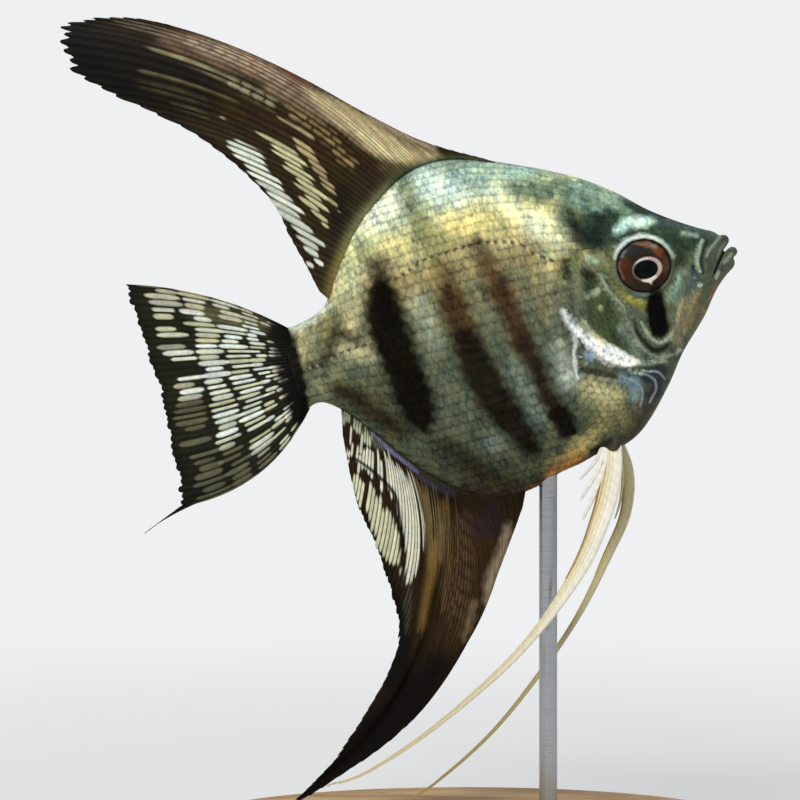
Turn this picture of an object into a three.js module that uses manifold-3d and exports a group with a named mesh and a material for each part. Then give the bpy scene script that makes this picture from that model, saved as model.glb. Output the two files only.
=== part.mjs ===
// A freshwater angelfish, life size, as a still model on a plain display stand.
// Millimetres, +Z up. The origin is at the middle of the stand's underside.
// The fish is shaped in its own level frame, then pitched nose-up and turned a little on the stand.
// In that frame x runs from the tail base to the snout, y to the fish's left and z up.
import * as THREE from "three";
import { mergeVertices } from "three/addons/utils/BufferGeometryUtils.js";
import Module from "manifold-3d";

// Pose of the fish on its stand
const NOSE_UP = THREE.MathUtils.degToRad(15.5);
const TURN_TO_FRONT = THREE.MathUtils.degToRad(6);
const ROD_AT_BELLY = new THREE.Vector3(37.5, 0, -26.5);
const ROD_PLACE = new THREE.Vector3(13, 0, 66.3);

// Stand
const BASE_LENGTH = 96;
const BASE_DEPTH = 62;
const BASE_HEIGHT = 8;
const BASE_CHAMFER = 1.6;
const ROD_RADIUS = 1.5;
const ROD_IN_BASE = 5;
const ROD_IN_BELLY = 6;

// Body: [x, value] along the fish
const BODY_START = 0.6;
const BODY_END = 77.6;
const BACK = [
  [0, 8.2], [4, 8.3], [8.6, 10.1], [12, 15.1], [17.2, 21.4], [24, 26.1], [31.5, 28.5],
  [38, 27.3], [46.5, 23.6], [54, 19.6], [60, 15.2], [65.4, 10.1], [72.3, 5.2], [77.6, 2.7],
];
const BELLY = [
  [0, -6.8], [3.4, -5.9], [6.4, -7.8], [10.3, -12.7], [16.7, -21.4], [22, -26.4], [27.5, -29.6],
  [32.5, -29.5], [36.2, -28.9], [39.4, -27.9], [43, -27.3], [46.4, -26.5], [50.8, -26.3], [54.8, -24.2], [60.3, -18.7],
  [64.2, -13.9], [69, -9.3], [72, -5.7], [74.4, -3.6], [77.6, -1.8],
];
const HALF_WIDTH = [
  [0, 1.3], [6, 2.3], [13, 3.7], [22, 5.2], [32, 6.1], [44, 6.5], [52, 6.2], [58, 5.6],
  [64, 4.7], [69, 3.6], [73.5, 2.6], [77.6, 1.5],
];
const BELLY_KEEL = [
  [0, 1.2], [20, 1.5], [28, 1.4], [34, 0.95], [50, 0.8], [60, 0.95], [70, 0.9], [77.6, 0.8],
];
const BACK_KEEL = 1.2;
const WIDEST_SHARE = 0.46;
const BODY_STATIONS = 32;
const BODY_SIDES = 22;
const GAP = 0.3;

// Where the body is parted, as outlines seen from the side
const SIDE_REACH = 12;
const ABOVE_BODY = 24;
const BELOW_HEAD = -21.5;
const BELOW_TAIL = -14;
const HEAD_REAR = [
  [60.6, ABOVE_BODY], [57.5, 17], [54.5, 9], [50.5, 1.2], [48.6, -2.6], [49, -6], [51.1, -10.2],
  [53.6, -13.4], [56.4, -16.2], [59.2, BELOW_HEAD],
];
const HEAD_FRONT_X = 82;
const TAIL_FRONT = [[12, ABOVE_BODY], [9.3, 10], [8.2, 1], [7, -8], [6.2, BELOW_TAIL]];
const TAIL_BACK_X = -4;
const GILL_COVER = [
  [46, 3], [50.6, 3.2], [54.3, 1.8], [55.9, -2.8], [57.3, -7.6], [59.4, -11.3], [62.8, -12.4],
  [61.8, -14.6], [57.6, -15.2], [50, -16], [45, -8],
];
const GILL_DEPTH_IN = 3;
const UPPER_JAW = [
  [71.2, 5.6], [73.7, 4], [75.4, 3.7], [76.4, 2.7], [75.9, 1.5], [74.4, 0.2], [72.9, -1.9],
  [71.6, -3.2], [70.6, -2.6], [70.8, 0.6], [71.3, 2.6],
];
const LOWER_JAW = [
  [75.5, 0.7], [76.6, 0.9], [77.3, -0.2], [76.3, -2.2], [74.4, -4.5], [72.6, -6.7], [71.1, -8.9],
  [68.6, -11.1], [67.2, -8.8], [69.4, -5.9], [71.8, -3.8], [73.6, -1.9],
];
const MOUTH_FRONT = [
  [71.4, 9], [71.2, 3], [70.9, 0], [71.2, -3.6], [70, -5.2], [67.2, -8.8], [66.2, -16],
  [HEAD_FRONT_X, -16], [HEAD_FRONT_X, 9],
];

// Eyes
const EYE_AT = new THREE.Vector3(61.7, 3.2, 1.3);
const EYE_RADII = new THREE.Vector3(4.4, 2.6, 4.7);

// Median fins: each row is one ray, [root x, root z, tip x, tip z], from the front to the rear
const DORSAL_RAYS = [
  [42.6, 25, 40.6, 26.4], [37.4, 27.2, 30.2, 33.2], [33.8, 27.9, 17.2, 45.2],
  [30.8, 28, 3.6, 57.4], [28.2, 27.6, -10.6, 66.4], [25.4, 26.4, -22.8, 68.4],
  [21.9, 24, -22.2, 59.4], [18.6, 21.8, -6.6, 45.2], [15.6, 18.8, 3.2, 32], [12.6, 15, 6.4, 20.8],
  [9.6, 10.6, 8.4, 12.4],
];
const ANAL_RAYS = [
  [33.6, -27.6, 31.6, -31.8], [29.6, -28.6, 25.2, -40.6], [26, -28, 17.2, -50.6],
  [22.8, -26.4, 2.4, -62.4], [20.3, -24.5, -20, -70.1], [17.8, -22, -9.8, -63.8],
  [15.2, -19, 4.6, -49.4], [12.6, -15.4, 6.4, -36], [10, -11.8, 5, -23.8], [6.8, -7.8, 5.7, -12.2],
];
const TAIL_RAYS = [
  [1.6, 7.8, -23.1, 22.4], [1.7, 5.6, -22.9, 15.8], [1.7, 3.2, -22.4, 9.4], [1.7, 0.6, -22.1, 2.6],
  [1.6, -2, -22.5, -3.4], [1.5, -4.4, -23, -10.2], [1.4, -6.2, -23.9, -16.4],
];
const TAIL_RAY_COUNT = 15;
const TAIL_STREAMER = 7.5;
const FIN_ROOT_HALF = 0.75;
const FIN_EDGE_HALF = 0.32;
const FIN_TAPER_OVER = 12;
const FIN_SWAY_AT = 60;

// Paired fins
const PELVIC_RIGHT = [
  [49.1, -1.7, -24.4], [47.6, -2.3, -29.8], [44, -3.1, -36.4], [37.4, -4.2, -44.4],
  [25.2, -5.4, -54], [9.2, -6.3, -62.1], [-4, -6.8, -66.6], [-11.4, -7, -67.2],
];
const PELVIC_LEFT = [
  [49.6, 1.7, -24.4], [50.1, 2.4, -30.5], [47.9, 3.4, -37], [43.4, 4.6, -42.8],
  [33.6, 5.8, -53.6], [18, 6.8, -66], [4.4, 7.4, -73.2], [-3, 7.6, -75.2],
];
const PELVIC_WIDTHS = [[0, 2.6], [0.12, 3.1], [0.28, 2.6], [0.45, 1.6], [0.7, 1], [1, 0.6]];
const PELVIC_LEFT_SHARE = 0.72;
const PELVIC_THICK = 0.9;
const PELVIC_TIP_THICK = 0.55;
const PECTORAL_AT = new THREE.Vector3(46.4, 5.6, -9.6);
const PECTORAL_SPREAD = THREE.MathUtils.degToRad(24);
const PECTORAL_CURL = 6;
const PECTORAL_RAYS = [
  [1.2, 2.3, -13.5, 8.8], [0.6, 1.2, -19, 6.2], [0.3, 0, -20.6, 1.2], [0.6, -1.2, -17, -4.2],
  [1.2, -2.3, -9.5, -6.8],
];

const wasm = await Module();
wasm.setup();

// A smooth line through [x, value] points
function smoothLine(points) {
  const last = points.length - 1;
  const slopes = points.map((_, i) => {
    const before = points[Math.max(i - 1, 0)];
    const after = points[Math.min(i + 1, last)];
    return (after[1] - before[1]) / (after[0] - before[0]);
  });
  return (x) => {
    let i = 0;
    while (i < last - 1 && x > points[i + 1][0]) i += 1;
    const [x0, v0] = points[i];
    const [x1, v1] = points[i + 1];
    const span = x1 - x0;
    const t = THREE.MathUtils.clamp((x - x0) / span, 0, 1);
    const blend = t * t * (3 - 2 * t);
    const leave = t * (1 - t) * (1 - t) * slopes[i] * span;
    const arrive = t * t * (t - 1) * slopes[i + 1] * span;
    return v0 + (v1 - v0) * blend + leave + arrive;
  };
}

const backZ = smoothLine(BACK);
const bellyZ = smoothLine(BELLY);
const halfWidth = smoothLine(HALF_WIDTH);
const bellyKeel = smoothLine(BELLY_KEEL);
const pelvicWidth = smoothLine(PELVIC_WIDTHS);

// The geometry with its triangles turned to face out
function facingOut(positions, triangles) {
  const corner = (i) => new THREE.Vector3(positions[3 * i], positions[3 * i + 1], positions[3 * i + 2]);
  let volume = 0;
  for (let i = 0; i < triangles.length; i += 3) {
    const [a, b, c] = [0, 1, 2].map((k) => corner(triangles[i + k]));
    volume += a.dot(b.cross(c)) / 6;
  }
  const index = [];
  for (let i = 0; i < triangles.length; i += 3) {
    const [a, b, c] = triangles.slice(i, i + 3);
    index.push(a, ...(volume > 0 ? [b, c] : [c, b]));
  }
  const geometry = new THREE.BufferGeometry();
  geometry.setAttribute("position", new THREE.Float32BufferAttribute(positions, 3));
  geometry.setIndex(index);
  return geometry;
}

// A closed skin over rings that have the same number of points, with a fan at each end
function skinRings(rings) {
  const sides = rings[0].length;
  const positions = rings.flatMap((ring) => ring.flatMap((p) => p.toArray()));
  const triangles = [];
  for (let r = 0; r < rings.length - 1; r += 1) {
    for (let k = 0; k < sides; k += 1) {
      const a = r * sides + k;
      const b = r * sides + ((k + 1) % sides);
      triangles.push(a, b, a + sides, b, b + sides, a + sides);
    }
  }
  const addFan = (ring, first, flip) => {
    const centre = new THREE.Vector3();
    ring.forEach((p) => centre.addScaledVector(p, 1 / sides));
    const middle = positions.length / 3;
    positions.push(...centre.toArray());
    for (let k = 0; k < sides; k += 1) {
      const a = first + k;
      const b = first + ((k + 1) % sides);
      triangles.push(middle, ...(flip ? [b, a] : [a, b]));
    }
  };
  addFan(rings[0], 0, true);
  addFan(rings[rings.length - 1], (rings.length - 1) * sides, false);
  return facingOut(positions, triangles);
}

function solidOf(geometry) {
  const bare = geometry.clone();
  bare.deleteAttribute("normal");
  bare.deleteAttribute("uv");
  const merged = mergeVertices(bare, 1e-4);
  const vertProperties = new Float32Array(merged.attributes.position.array);
  const triVerts = new Uint32Array(merged.index.array);
  return new wasm.Manifold(new wasm.Mesh({ numProp: 3, vertProperties, triVerts }));
}

function geometryOf(solid) {
  const mesh = solid.getMesh();
  const geometry = new THREE.BufferGeometry();
  geometry.setAttribute("position", new THREE.BufferAttribute(mesh.vertProperties, 3));
  geometry.setIndex(new THREE.BufferAttribute(mesh.triVerts, 1));
  geometry.computeVertexNormals();
  return geometry;
}

// The whole body, grown by a margin where it makes room for a neighbour
function bodySolid(margin = 0) {
  const rings = [];
  for (let i = 0; i <= BODY_STATIONS; i += 1) {
    const share = 0.5 - 0.5 * Math.cos((Math.PI * i) / BODY_STATIONS);
    const along = THREE.MathUtils.lerp(i / BODY_STATIONS, share, 0.6);
    const x = THREE.MathUtils.lerp(BODY_START, BODY_END, along);
    const top = backZ(x) + margin;
    const bottom = bellyZ(x) - margin;
    const middle = THREE.MathUtils.lerp(bottom, top, WIDEST_SHARE);
    const half = halfWidth(x) + margin;
    const ring = [];
    for (let k = 0; k < BODY_SIDES; k += 1) {
      const angle = (2 * Math.PI * k) / BODY_SIDES;
      const up = Math.sin(angle);
      const side = Math.cos(angle);
      const keel = up > 0 ? BACK_KEEL : bellyKeel(x);
      const y = Math.sign(side) * (half * Math.abs(side) ** keel);
      const z = middle + up * (up > 0 ? top - middle : middle - bottom);
      ring.push(new THREE.Vector3(x, y, z));
    }
    rings.push(ring);
  }
  rings[0].forEach((p) => p.setX(BODY_START - margin));
  return solidOf(skinRings(rings));
}

// A block with a side outline of [x, z] points, from one y to another
function block(outline, fromY = -SIDE_REACH, toY = SIDE_REACH) {
  const shape = new THREE.Shape(outline.map(([x, z]) => new THREE.Vector2(x, z)));
  const geometry = new THREE.ExtrudeGeometry(shape, { depth: toY - fromY, bevelEnabled: false });
  geometry.rotateX(Math.PI / 2);
  geometry.translate(0, toY, 0);
  return solidOf(geometry);
}

// An open line of [x, z] points, rounded
function rounded(points, steps) {
  const curve = new THREE.SplineCurve(points.map(([x, z]) => new THREE.Vector2(x, z)));
  return curve.getPoints(steps).map((p) => p.toArray());
}

// A closed outline of [x, z] points, rounded
function roundedLoop(points, steps) {
  const ring = points.map(([x, z]) => new THREE.Vector3(x, 0, z));
  const curve = new THREE.CatmullRomCurve3(ring, true, "centripetal");
  return curve.getPoints(steps).slice(0, -1).map((p) => [p.x, p.z]);
}

// The outline moved outwards by a distance
function grown(outline, distance) {
  const count = outline.length;
  let area = 0;
  outline.forEach(([x, z], i) => {
    const [nextX, nextZ] = outline[(i + 1) % count];
    area += (x * nextZ - nextX * z) / 2;
  });
  const out = area > 0 ? distance : -distance;
  return outline.map(([x, z], i) => {
    const [beforeX, beforeZ] = outline[(i + count - 1) % count];
    const [afterX, afterZ] = outline[(i + 1) % count];
    const along = new THREE.Vector2(afterX - beforeX, afterZ - beforeZ).normalize();
    return [x + along.y * out, z - along.x * out];
  });
}

const headOutline = [
  ...rounded(HEAD_REAR, 18),
  [HEAD_FRONT_X, BELOW_HEAD],
  [HEAD_FRONT_X, ABOVE_BODY],
];
const tailOutline = [
  ...rounded(TAIL_FRONT, 8),
  [TAIL_BACK_X, BELOW_TAIL],
  [TAIL_BACK_X, ABOVE_BODY],
];
const gillOutline = roundedLoop(GILL_COVER, 22);
const upperJawOutline = roundedLoop(UPPER_JAW, 22);
const lowerJawOutline = roundedLoop(LOWER_JAW, 22);

const wholeBody = bodySolid();
const roomForBody = bodySolid(GAP);

function eyeSolid(side, margin) {
  const ball = new THREE.SphereGeometry(1, 18, 10);
  ball.rotateX(Math.PI / 2);
  ball.scale(EYE_RADII.x + margin, EYE_RADII.y + margin, EYE_RADII.z + margin);
  ball.translate(EYE_AT.x, side * EYE_AT.y, EYE_AT.z);
  return solidOf(ball);
}

// side is -1 on the right and 1 on the left
function gillSlab(outline, side, inner) {
  return side < 0 ? block(outline, -SIDE_REACH, -inner) : block(outline, inner, SIDE_REACH);
}

function gillCoverSolid(side) {
  const headBlock = block(headOutline);
  return wholeBody.intersect(headBlock).intersect(gillSlab(gillOutline, side, GILL_DEPTH_IN));
}

function headSolid() {
  let head = wholeBody.intersect(block(headOutline));
  for (const jaw of [upperJawOutline, lowerJawOutline]) {
    head = head.subtract(block(grown(jaw, GAP)));
  }
  for (const side of [-1, 1]) {
    head = head.subtract(gillSlab(grown(gillOutline, GAP), side, GILL_DEPTH_IN - GAP));
    head = head.subtract(eyeSolid(side, GAP));
  }
  return largest(head.subtract(block(MOUTH_FRONT)));
}

function largest(solid) {
  return solid.decompose().sort((a, b) => b.volume() - a.volume())[0];
}

function lowerJawSolid() {
  const roomForUpper = block(grown(upperJawOutline, GAP));
  return largest(wholeBody.intersect(block(lowerJawOutline)).subtract(roomForUpper));
}

function trunkSolid(rodHole) {
  const headRoom = block(grown(headOutline, GAP));
  const tailRoom = block(grown(tailOutline, GAP));
  return largest(wholeBody.subtract(headRoom).subtract(tailRoom).subtract(rodHole));
}

// A thin fin in the plane of its rays. Rays reach the edge, and the web between them stops short.
// bow is how far a ray curves off its chord, as a share of its length. sway is how far to the left
// a ray has swung at FIN_SWAY_AT from its root.
function finGeometry({ rays, count, rows, bow, notch, streamer = () => 0, sway = 0 }) {
  const rootLine = new THREE.SplineCurve(rays.map((r) => new THREE.Vector2(r[0], r[1])));
  const tipLine = new THREE.SplineCurve(rays.map((r) => new THREE.Vector2(r[2], r[3])));
  const columns = 2 * count;
  const positions = [];
  for (const side of [-1, 1]) {
    for (let c = 0; c <= columns; c += 1) {
      const s = c / columns;
      const root = rootLine.getPoint(s);
      const chord = tipLine.getPoint(s).sub(root);
      const length = chord.length();
      const across = new THREE.Vector2(-chord.y, chord.x).normalize();
      const edge = c % 2 === 0 ? 1 + streamer(s) / length : 1 - notch(s);
      for (let r = 0; r <= rows; r += 1) {
        const t = (edge * r) / rows;
        const place = root.clone().addScaledVector(chord, t);
        place.addScaledVector(across, bow(s) * length * 4 * t * Math.max(0, 1 - t));
        const tapered = Math.min(1, (t * length) / FIN_TAPER_OVER);
        const half = THREE.MathUtils.lerp(FIN_ROOT_HALF, FIN_EDGE_HALF, tapered);
        const y = sway * ((t * length) / FIN_SWAY_AT) ** 2;
        positions.push(place.x, y + side * half, place.y);
      }
    }
  }
  const perSide = (columns + 1) * (rows + 1);
  const at = (side, c, r) => side * perSide + c * (rows + 1) + r;
  const triangles = [];
  const quad = (a, b, c, d) => triangles.push(a, b, c, a, c, d);
  for (let c = 0; c < columns; c += 1) {
    for (let r = 0; r < rows; r += 1) {
      quad(at(0, c, r), at(0, c + 1, r), at(0, c + 1, r + 1), at(0, c, r + 1));
      quad(at(1, c, r), at(1, c, r + 1), at(1, c + 1, r + 1), at(1, c + 1, r));
    }
    quad(at(0, c, 0), at(1, c, 0), at(1, c + 1, 0), at(0, c + 1, 0));
    quad(at(0, c, rows), at(0, c + 1, rows), at(1, c + 1, rows), at(1, c, rows));
  }
  for (let r = 0; r < rows; r += 1) {
    quad(at(0, 0, r), at(0, 0, r + 1), at(1, 0, r + 1), at(1, 0, r));
    quad(at(0, columns, r), at(1, columns, r), at(1, columns, r + 1), at(0, columns, r + 1));
  }
  return facingOut(positions, triangles);
}

function dorsalFin() {
  return finGeometry({
    rays: DORSAL_RAYS,
    count: 17,
    rows: 6,
    bow: (s) => -0.085 * Math.sin(Math.PI * s) ** 2.2,
    notch: (s) => (s < 0.3 ? 0.06 : 0.02),
    sway: 2.2,
  });
}

function analFin() {
  return finGeometry({
    rays: ANAL_RAYS,
    count: 17,
    rows: 7,
    bow: (s) => 0.15 * Math.sin(Math.PI * Math.min(1, s * 1.1)) ** 0.8,
    notch: (s) => (s < 0.35 ? 0.05 : 0.02),
    sway: 1.6,
  });
}

function tailFin() {
  return finGeometry({
    rays: TAIL_RAYS,
    count: TAIL_RAY_COUNT,
    rows: 5,
    bow: (s) => THREE.MathUtils.lerp(-0.06, 0.13, s ** 1.4),
    notch: () => 0.02,
    streamer: (s) => (s === 1 ? TAIL_STREAMER : 0),
    sway: -9,
  });
}

function pectoralFin(side) {
  const fin = finGeometry({
    rays: PECTORAL_RAYS,
    count: 8,
    rows: 4,
    bow: () => 0,
    notch: () => 0.02,
    sway: side * PECTORAL_CURL,
  });
  fin.rotateZ(-side * PECTORAL_SPREAD);
  fin.translate(PECTORAL_AT.x, side * PECTORAL_AT.y, PECTORAL_AT.z);
  return fin;
}

// A long flat ray that tapers along a curve
function pelvicFin(route, share) {
  const curve = new THREE.CatmullRomCurve3(route.map((p) => new THREE.Vector3(...p)));
  const rings = [];
  const steps = 22;
  const sides = 6;
  for (let i = 0; i <= steps; i += 1) {
    const t = i / steps;
    const centre = curve.getPointAt(t);
    const along = curve.getTangentAt(t);
    const across = new THREE.Vector3(0, 1, 0).addScaledVector(along, -along.y).normalize();
    const wide = new THREE.Vector3().crossVectors(along, across).normalize();
    const halfWide = (pelvicWidth(t) * share) / 2;
    const halfThick = THREE.MathUtils.lerp(PELVIC_THICK, PELVIC_TIP_THICK, t) / 2;
    const ring = [];
    for (let k = 0; k < sides; k += 1) {
      const angle = (2 * Math.PI * k) / sides;
      const point = centre.clone();
      point.addScaledVector(wide, Math.cos(angle) * Math.max(halfWide, halfThick));
      point.addScaledVector(across, Math.sin(angle) * halfThick);
      ring.push(point);
    }
    rings.push(ring);
  }
  return skinRings(rings);
}

function seated(geometry) {
  return geometryOf(largest(solidOf(geometry).subtract(roomForBody)));
}

function finish(color, roughness, metalness = 0) {
  return new THREE.MeshStandardMaterial({ color, roughness, metalness });
}

function named(name, geometry, material) {
  const mesh = new THREE.Mesh(geometry, material);
  mesh.name = name;
  return mesh;
}

function upright(radius, fromZ, toZ) {
  const geometry = new THREE.CylinderGeometry(radius, radius, toZ - fromZ, 16);
  geometry.rotateX(Math.PI / 2);
  geometry.translate(ROD_PLACE.x, ROD_PLACE.y, (fromZ + toZ) / 2);
  return geometry;
}

function standBase() {
  const half = BASE_LENGTH / 2;
  const profile = [
    [0, 0], [half - BASE_CHAMFER / 2, 0], [half, BASE_CHAMFER / 2],
    [half, BASE_HEIGHT - BASE_CHAMFER], [half - BASE_CHAMFER, BASE_HEIGHT], [0, BASE_HEIGHT],
  ];
  const plate = new THREE.LatheGeometry(profile.map(([x, y]) => new THREE.Vector2(x, y)), 48);
  plate.rotateX(Math.PI / 2);
  plate.scale(1, BASE_DEPTH / BASE_LENGTH, 1);
  const hole = upright(ROD_RADIUS + GAP, BASE_HEIGHT - ROD_IN_BASE - GAP, BASE_HEIGHT + 1);
  return geometryOf(solidOf(plate).subtract(solidOf(hole)));
}

const flesh = finish("#a9aa8f", 0.35, 0.2);
const silver = finish("#c9d0cf", 0.25, 0.5);
const web = finish("#5a4632", 0.5);
const clear = finish("#b9b9a8", 0.4);
const iris = finish("#5b2413", 0.15);
const pale = finish("#e9e4cf", 0.4);
const steel = finish("#b4b6b8", 0.3, 0.9);
const wood = finish("#c9a877", 0.5);

const fish = new THREE.Group();
fish.rotation.order = "ZYX";
fish.rotation.set(0, -NOSE_UP, -TURN_TO_FRONT);
fish.position.copy(ROD_PLACE).sub(ROD_AT_BELLY.clone().applyEuler(fish.rotation));
fish.updateMatrix();

const rodTop = ROD_PLACE.z + ROD_IN_BELLY;
const holeInWorld = upright(ROD_RADIUS + GAP, ROD_PLACE.z - 12, rodTop + GAP);
const rodHole = solidOf(holeInWorld.applyMatrix4(fish.matrix.clone().invert()));

fish.add(named("trunk", geometryOf(trunkSolid(rodHole)), flesh));
fish.add(named("tail_base", geometryOf(wholeBody.intersect(block(tailOutline))), flesh));
fish.add(named("head", geometryOf(headSolid()), flesh));
fish.add(named("upper_jaw", geometryOf(wholeBody.intersect(block(upperJawOutline))), flesh));
fish.add(named("lower_jaw", geometryOf(lowerJawSolid()), flesh));
for (const [name, side] of [["right", -1], ["left", 1]]) {
  fish.add(named(`gill_cover_${name}`, geometryOf(gillCoverSolid(side)), silver));
  fish.add(named(`eye_${name}`, geometryOf(eyeSolid(side, 0)), iris));
  fish.add(named(`pectoral_fin_${name}`, seated(pectoralFin(side)), clear));
}
fish.add(named("pelvic_fin_right", seated(pelvicFin(PELVIC_RIGHT, 1)), pale));
fish.add(named("pelvic_fin_left", seated(pelvicFin(PELVIC_LEFT, PELVIC_LEFT_SHARE)), pale));
fish.add(named("dorsal_fin", seated(dorsalFin()), web));
fish.add(named("anal_fin", seated(analFin()), web));
fish.add(named("tail_fin", seated(tailFin()), web));

const model = new THREE.Group();
model.add(fish);
model.add(named("stand_base", standBase(), wood));
model.add(named("stand_rod", upright(ROD_RADIUS, BASE_HEIGHT - ROD_IN_BASE, rodTop), steel));

export default model;
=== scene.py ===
"""The looks of a freshwater angelfish on its display stand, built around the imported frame.

Every shape of the fish is worked out in the fish's own level frame, in millimetres: x runs from the
tail base to the snout, y to the fish's left and z up. place() then turns it into the pose of the model.
"""
import math

import bpy
import numpy as np
from bpy.props import FloatProperty, FloatVectorProperty, IntProperty, PointerProperty
from mathutils import Matrix, Vector


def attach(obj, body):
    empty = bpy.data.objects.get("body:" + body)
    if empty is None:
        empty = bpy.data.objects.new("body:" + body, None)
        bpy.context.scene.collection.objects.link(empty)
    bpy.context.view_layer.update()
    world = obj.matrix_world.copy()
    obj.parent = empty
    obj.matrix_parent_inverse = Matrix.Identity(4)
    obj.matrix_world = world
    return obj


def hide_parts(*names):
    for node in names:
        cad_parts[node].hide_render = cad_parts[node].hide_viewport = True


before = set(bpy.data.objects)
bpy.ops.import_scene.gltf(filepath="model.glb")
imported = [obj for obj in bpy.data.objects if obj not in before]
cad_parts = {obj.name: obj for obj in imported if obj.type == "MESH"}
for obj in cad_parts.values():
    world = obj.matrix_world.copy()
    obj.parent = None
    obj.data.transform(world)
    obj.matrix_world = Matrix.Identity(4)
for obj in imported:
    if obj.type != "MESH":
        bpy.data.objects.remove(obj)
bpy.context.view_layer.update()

bl_info = {
    "name": "Angelfish Display Model",
    "version": (1, 0, 0),
    "blender": (4, 5, 0),
    "location": "View3D > Sidebar > Angelfish",
    "description": "Skin, scales, fins, eyes, stand and studio of a life-size angelfish model",
    "category": "Object",
}

# ---------------------------------------------------------------- the fish's own frame, in millimetres

NOSE_UP = 15.5
TURN_TO_FRONT = 6.0
ROD_AT_BELLY = np.array((37.5, 0.0, -26.5))
ROD_PLACE = np.array((13.0, 0.0, 66.3))
TURN = np.array(
    Matrix.Rotation(math.radians(-TURN_TO_FRONT), 3, "Z") @ Matrix.Rotation(math.radians(-NOSE_UP), 3, "Y")
)

BACK = ((0, 8.2), (4, 8.3), (8.6, 10.1), (12, 15.1), (17.2, 21.4), (24, 26.1), (31.5, 28.5), (38, 27.3),
        (46.5, 23.6), (54, 19.6), (60, 15.2), (65.4, 10.1), (72.3, 5.2), (77.6, 2.7))
BELLY = ((0, -6.8), (3.4, -5.9), (6.4, -7.8), (10.3, -12.7), (16.7, -21.4), (22, -26.4), (27.5, -29.6),
         (32.5, -29.5), (36.2, -28.9), (39.4, -27.9), (43, -27.3), (46.4, -26.5), (50.8, -26.3),
         (54.8, -24.2), (60.3, -18.7), (64.2, -13.9), (69, -9.3), (72, -5.7), (74.4, -3.6), (77.6, -1.8))
HALF_WIDTH = ((0, 1.3), (6, 2.3), (13, 3.7), (22, 5.2), (32, 6.1), (44, 6.5), (52, 6.2), (58, 5.6),
              (64, 4.7), (69, 3.6), (73.5, 2.6), (77.6, 1.5))
BELLY_KEEL = ((0, 1.2), (20, 1.5), (28, 1.4), (34, 0.95), (50, 0.8), (60, 0.95), (70, 0.9), (77.6, 0.8))
BACK_KEEL = 1.2
WIDEST_SHARE = 0.46
COAT_DEPTH = 0.22

# The eye's middle along the fish and up, and its radii along, outwards and up.
EYE_AT = (61.65, 1.4)
EYE_RADII = (4.55, 1, 4.5)
EYE_SUNK = 0.3
SOCKET_REACH = 4.75
SOCKET_FLOOR = 2.4

# The lips, from the corner of the mouth to the front: x, distance from the middle, z and radius.
UPPER_LIP = ((71.6, 2.55, -2.9, 0.45), (72.8, 2.45, -1.1, 0.6), (74.1, 2.05, 0.55, 0.72),
             (75, 1.35, 1.65, 0.82), (75.4, 0.55, 2.1, 0.9), (75.45, 0, 2.15, 0.9))
LOWER_LIP = ((71.4, 2.6, -4.1, 0.4), (73, 2.4, -2.45, 0.55), (74.7, 1.95, -1.05, 0.66),
             (75.8, 1.3, -0.35, 0.76), (76.3, 0.5, -0.1, 0.8), (76.35, 0, -0.05, 0.8))
MOUTH_SLIT = ((78.5, 1.35, 0.24), (76, 1.05, 0.23), (74.9, 0.3, 0.22), (73.6, -1.3, 0.18), (72, -3.35, 0.1))
MOUTH_DEPTH = 0.7
SNOUT_END = 75.2

# The swollen roots of the paired fins: a ball's middle and radii, and a tube's x, side, z and radius.
PECTORAL_ROOT = ((46.4, 5.3, -9.6), (2, 0.95, 2.6))
PELVIC_ROOT = ((51, 1.2, -21, 1.2), (49, 1.8, -25.6, 1.15))
NOSTRIL = ((69.4, -1),)

# Lines of the head and flank that the relief, the scales and the colours follow: x and z.
GILL_EDGE = ((50.6, 5.6), (48.9, 4.4), (47.5, 2), (46.7, -0.8), (47, -3.6), (48.3, -6.8), (49.9, -9.6),
             (52, -12.1), (54.6, -13.9), (57.8, -14.8), (61.6, -15.2))
CHEEK_RIDGE = ((54.6, 1.8), (54.9, -0.5), (56.5, -4), (57, -7.9), (57.6, -10.9), (59.1, -13),
               (61.5, -13.9), (63.8, -13.4))
CHEEK_GROOVE = ((57.7, -6.8), (58, -9.6), (59.1, -11.9), (60.5, -12.6), (62.2, -12))
CHEEK_RING = ((58.9, -7.4), (59.1, -8.8), (59.6, -10.2), (60.8, -11.4), (62.3, -11.2), (63.3, -10.4))
SNOUT_EDGE = ((72, 3), (71, 1.4), (70.2, -0.4), (70.2, -1.6))
SNOUT_GROOVE = ((72.8, 2.6), (71.8, 1.2), (70.9, -0.6), (70.7, -2.3))
JAW_GROOVE = ((70.9, -4.4), (69.4, -6.2), (66.9, -8.6), (64.4, -11.3))
SHOULDER_LINE = ((47.3, -3.5), (47.7, -6.8), (46.6, -10.8), (46.4, -13.4))
THROAT_RAYS = (
    ((54.8, -14.9), (56.8, -15.6), (58.3, -17), (58.2, -18.6), (56.6, -20.4)),
    ((57, -15.2), (59.2, -15.9), (60, -17.3)),
    ((53.6, -15.2), (55.2, -16.6), (56, -18.4), (55, -20.6)),
)
LATERAL_UPPER = ((47.7, 6.3), (45, 8.2), (43.1, 10.5), (39, 11.8), (35, 12.5), (31.8, 12.5),
                 (27.5, 12.2), (24.6, 11.3), (21.8, 10.6))
LATERAL_LOWER = ((15.5, 1.3), (10.5, 1.4), (6.8, 0.4), (3.3, 0.3))

FLESH_NODES = ("trunk", "tail_base", "head", "upper_jaw", "lower_jaw", "gill_cover_right", "gill_cover_left")
SIDES = (("right", -1), ("left", 1))


def place(points):
    """Points of the fish's own frame, in mm, as points of the model, in metres."""
    return ((points - ROD_AT_BELLY) @ TURN.T + ROD_PLACE) / 1000


# ---------------------------------------------------------------- numbers


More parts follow.
